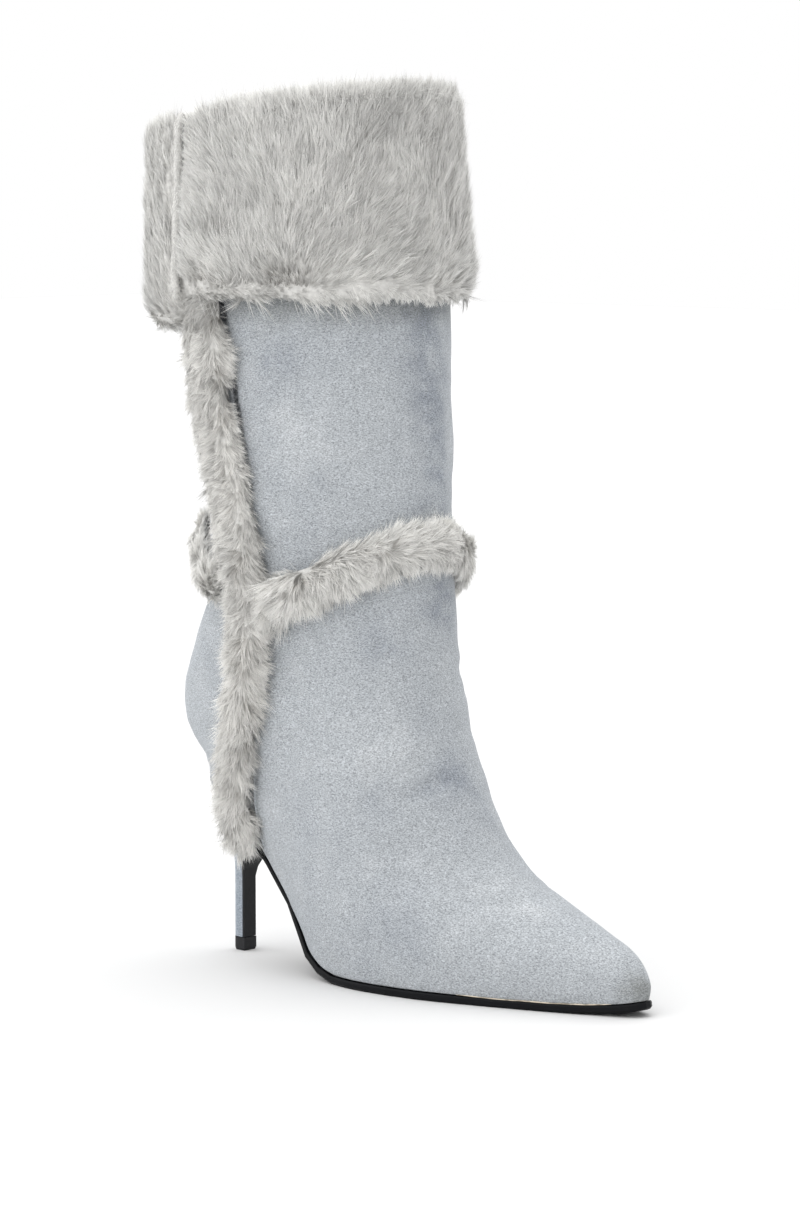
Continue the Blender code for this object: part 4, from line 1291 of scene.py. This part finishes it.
def welt_comb(points, normals):
    """The welt's pile lies down along it."""
    down = np.tile([0.0, 0.0, -1.0], (len(points), 1))
    way = unit(laid(down, normals) + 0.001)  # where it has no length, at the ends, it stays a direction
    even = np.ones(len(points))
    return Nap(way, even, even, 0 * even, 0.4 * even)


class BOOT_OT_strip(bpy.types.Operator):
    """Makes the fur strip down the outer side, with the dark cut edge in front of it: its dark roots and
    painted shadow
    """

    bl_idname = "boot.strip"
    bl_label = "Fur strip"

    def execute(self, context):
        look = context.scene.boot_fur
        width = look.width / MM
        wool = pelt_material(look)
        pelt = make_pelt("strip_pelt", "fur_strip", strip_shape(look.pelt / MM), wool)
        coat = Coat(
            clumps=6600, hairs=7, spread=1.05, pinch=0.65, length=6.0, width=width, lean=64, wander=17
        )
        hair = hair_material("strip_pile_fur", look, 0.12)
        grow_hairs("strip_hairs", pelt, coat, strip_comb, everywhere, 201, hair)
        upper = surface_tree(bpy.data.objects["suede_upper"])
        # A dark cord and short dark wool along the strip's front edge: its dark roots and painted shadow in
        # the gap
        line = from_outside(upper, [p.x for p in SHADOWED_CUT_EDGE], [p.z for p in SHADOWED_CUT_EDGE], 0.4)
        shadow_wool = edge_shadow_wool_material(look)
        shadow_cord = lay_cord("strip_cut_edge", [even_run(line, 1.5)], 0.22, shadow_wool)
        edge = Coat(clumps=1900, hairs=4, spread=0.8, pinch=0.5, length=2.1, width=width, lean=50, wander=70)
        grow_hairs("strip_edge_wool", shadow_cord, edge, strip_comb, everywhere, 202, shadow_wool)
        return {"FINISHED"}


class BOOT_OT_band(bpy.types.Operator):
    """Makes the fur band round the ankle"""

    bl_idname = "boot.band"
    bl_label = "Fur band"

    def execute(self, context):
        look = context.scene.boot_fur
        width = look.width / MM
        pelt = make_pelt("band_pelt", "fur_band", band_shape(look.pelt / MM), pelt_material(look))
        coat = Coat(clumps=8400, hairs=7, spread=1.1, pinch=0.55, length=6.6, width=width, lean=62, wander=20)
        hair = hair_material("band_pile_fur", look, 0.08)
        grow_hairs("band_hairs", pelt, coat, band_comb, everywhere, 301, hair)
        return {"FINISHED"}


# ---------------------------------------------------------------------------------------------
# Sole, heel and seams


def dress(node, *materials):
    """Gives a carried-over CAD node its materials."""
    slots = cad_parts[node].material_slots
    for index, material in enumerate(materials):
        slots[index].material = material


class BOOT_OT_sole(bpy.types.Operator):
    """Finishes the sole, the insole, the heel, its breast cover and its top piece"""

    bl_idname = "boot.sole"
    bl_label = "Sole and heel"

    def execute(self, context):
        look, suede = context.scene.boot_sole, context.scene.boot_suede
        dress("outsole", board_material("satin_sole_board", look.board, 0.4, 0.0011, 0.12))
        dress("insole", lining_material(suede))
        dress("heel", suede_material("heel_cover_suede", suede, look.cover))
        dress("heel_breast", board_material("satin_breast_cover", look.breast, 0.4, 0.0009, 0.25))
        dress("top_piece", board_material("moulded_rubber", look.rubber, 0.6, 0.0007, 0.35))
        lay_feather_line(look)
        return {"FINISHED"}


def lay_feather_line(look):
    """Lays the foil line where the suede meets the sole's edge, round the forefoot."""
    sole = surface_tree(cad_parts["outsole"])
    suede = surface_tree(bpy.data.objects["suede_upper"])
    clear, drop = 0.7, 0.3  # looks for the suede this far over the sole, and lies this much lower
    shown, hidden = 0.05, 0.4  # how far it stands out of the suede, and sinks in at its ends
    (first, last), (rise, fall) = FEATHER_SPAN, FEATHER_FADE
    runs = []
    for side in (-1, 1):
        run = []
        for x in np.linspace(first, last, 60):
            start = np.array([x, side * ASIDE, 0.0])
            tops = [z for z in np.arange(0.2, 14, 0.2) if meets(sole, start + [0, 0, z], side)]
            proud = np.interp(x, [first, first + rise, last - fall, last], [-hidden, shown, shown, -hidden])
            placed = press(suede, [start + [0, 0, tops[-1] + clear]], [(0, -side, 0)], proud)
            run += list(placed - [0, 0, drop])
        runs.append(even_run(np.array(run), 1.5))
    lay_cord("feather_line", runs, 0.34, foil_material(look))


def meets(tree, start, side):
    """Whether a level line towards the middle from this side meets a surface."""
    return tree.ray_cast(Vector(start) * MM, Vector((0, -side, 0)))[0] is not None


class BOOT_OT_stage(bpy.types.Operator):
    """Makes the floor, the lights, the world and the camera"""

    bl_idname = "boot.stage"
    bl_label = "Floor, lights and camera"

    def execute(self, context):
        look = context.scene.boot_stage
        lay_floor(context.scene, look)
        hang_lights(context.scene, look)
        set_camera(context.scene, look)
        context.scene.view_settings.view_transform = "Standard"
        return {"FINISHED"}


def lay_floor(scene, look):
    """A wide sheet of matt pale paper under the boot."""
    made = bmesh.new()
    bmesh.ops.create_grid(made, x_segments=1, y_segments=1, size=FLOOR_HALF)
    mesh = bpy.data.meshes.new("floor")
    made.to_mesh(mesh)
    made.free()
    matt = {"Base Color": rgba(look.floor), "Roughness": 0.9, "Specular IOR Level": 0.1}
    mesh.materials.append(new_material("floor_paper", matt)[0])
    floor = bpy.data.objects.new("floor", mesh)
    scene.collection.objects.link(floor)


def hang_lights(scene, look):
    """A white world, which the camera sees at full strength and which lights at its own, and the lamps."""
    world = bpy.data.worlds.new("studio")
    world.use_nodes = True
    tree = world.node_tree
    seen = add(tree, "ShaderNodeLightPath").outputs["Is Camera Ray"]
    glow = add(tree, "ShaderNodeMapRange", None, {0: seen, 1: 0.0, 2: 1.0, 3: look.ambient, 4: 1.0})
    tree.links.new(glow.outputs[0], tree.nodes["Background"].inputs["Strength"])
    tree.nodes["Background"].inputs["Color"].default_value = (1, 1, 1, 1)
    scene.world = world
    for lamp in LAMPS:
        sun = bpy.data.lights.new(lamp.name, "SUN")
        sun.angle = math.radians(lamp.wide)
        sun.energy = getattr(look, lamp.name)
        light = bpy.data.objects.new(lamp.name, sun)
        up, turn = math.radians(lamp.elevation), math.radians(lamp.azimuth)
        place = Vector((math.sin(turn) * math.cos(up), -math.cos(turn) * math.cos(up), math.sin(up)))
        light.rotation_euler = (-place).to_track_quat("-Z", "Y").to_euler()
        scene.collection.objects.link(light)


def set_camera(scene, look):
    """The camera, placed by how far it stands from the boot, to its right and up, and how it tilts."""
    away = Vector((-math.sin(look.azimuth), math.cos(look.azimuth), 0))
    right = Vector((math.cos(look.azimuth), math.sin(look.azimuth), 0))
    camera = bpy.data.objects.new("camera", bpy.data.cameras.new("camera"))
    camera.location = look.aside * right - look.distance * away + Vector((0, 0, look.height))
    sight = away * math.cos(look.tilt) - Vector((0, 0, math.sin(look.tilt)))
    camera.rotation_euler = sight.to_track_quat("-Z", "Y").to_euler()
    camera.data.sensor_width = 36
    camera.data.lens = look.lens
    scene.collection.objects.link(camera)
    scene.camera = camera


class BOOT_PT_panel(bpy.types.Panel):
    """The boot's pieces, in the order they are made"""

    bl_idname = "BOOT_PT_panel"
    bl_label = "Suede stiletto boot"
    bl_space_type = "VIEW_3D"
    bl_region_type = "UI"
    bl_category = "Boot"

    def draw(self, context):
        for group in GROUPS:
            box = self.layout.box()
            look = getattr(context.scene, group)
            for name in look.bl_rna.properties.keys():
                if name not in ("rna_type", "name"):
                    box.prop(look, name)
        for made in OPERATORS:
            self.layout.operator(made.bl_idname)


GROUPS = {"boot_suede": BootSuede, "boot_fur": BootFur, "boot_sole": BootSole, "boot_stage": BootStage}
OPERATORS = (BOOT_OT_upper, BOOT_OT_cuff, BOOT_OT_strip, BOOT_OT_band, BOOT_OT_sole, BOOT_OT_stage)


def register():
    """Registers the classes and hangs the properties on the scene."""
    for made in (*GROUPS.values(), *OPERATORS, BOOT_PT_panel):
        bpy.utils.register_class(made)
    for name, group in GROUPS.items():
        setattr(bpy.types.Scene, name, bpy.props.PointerProperty(type=group))


def unregister():
    """Takes the properties and the classes away."""
    for name in GROUPS:
        delattr(bpy.types.Scene, name)
    for made in (BOOT_PT_panel, *OPERATORS[::-1], *list(GROUPS.values())[::-1]):
        bpy.utils.unregister_class(made)


def main():
    """Makes every piece in order."""
    register()
    for made in OPERATORS:
        group, name = made.bl_idname.split(".")
        getattr(getattr(bpy.ops, group), name)()


if __name__ == "__main__":
    main()
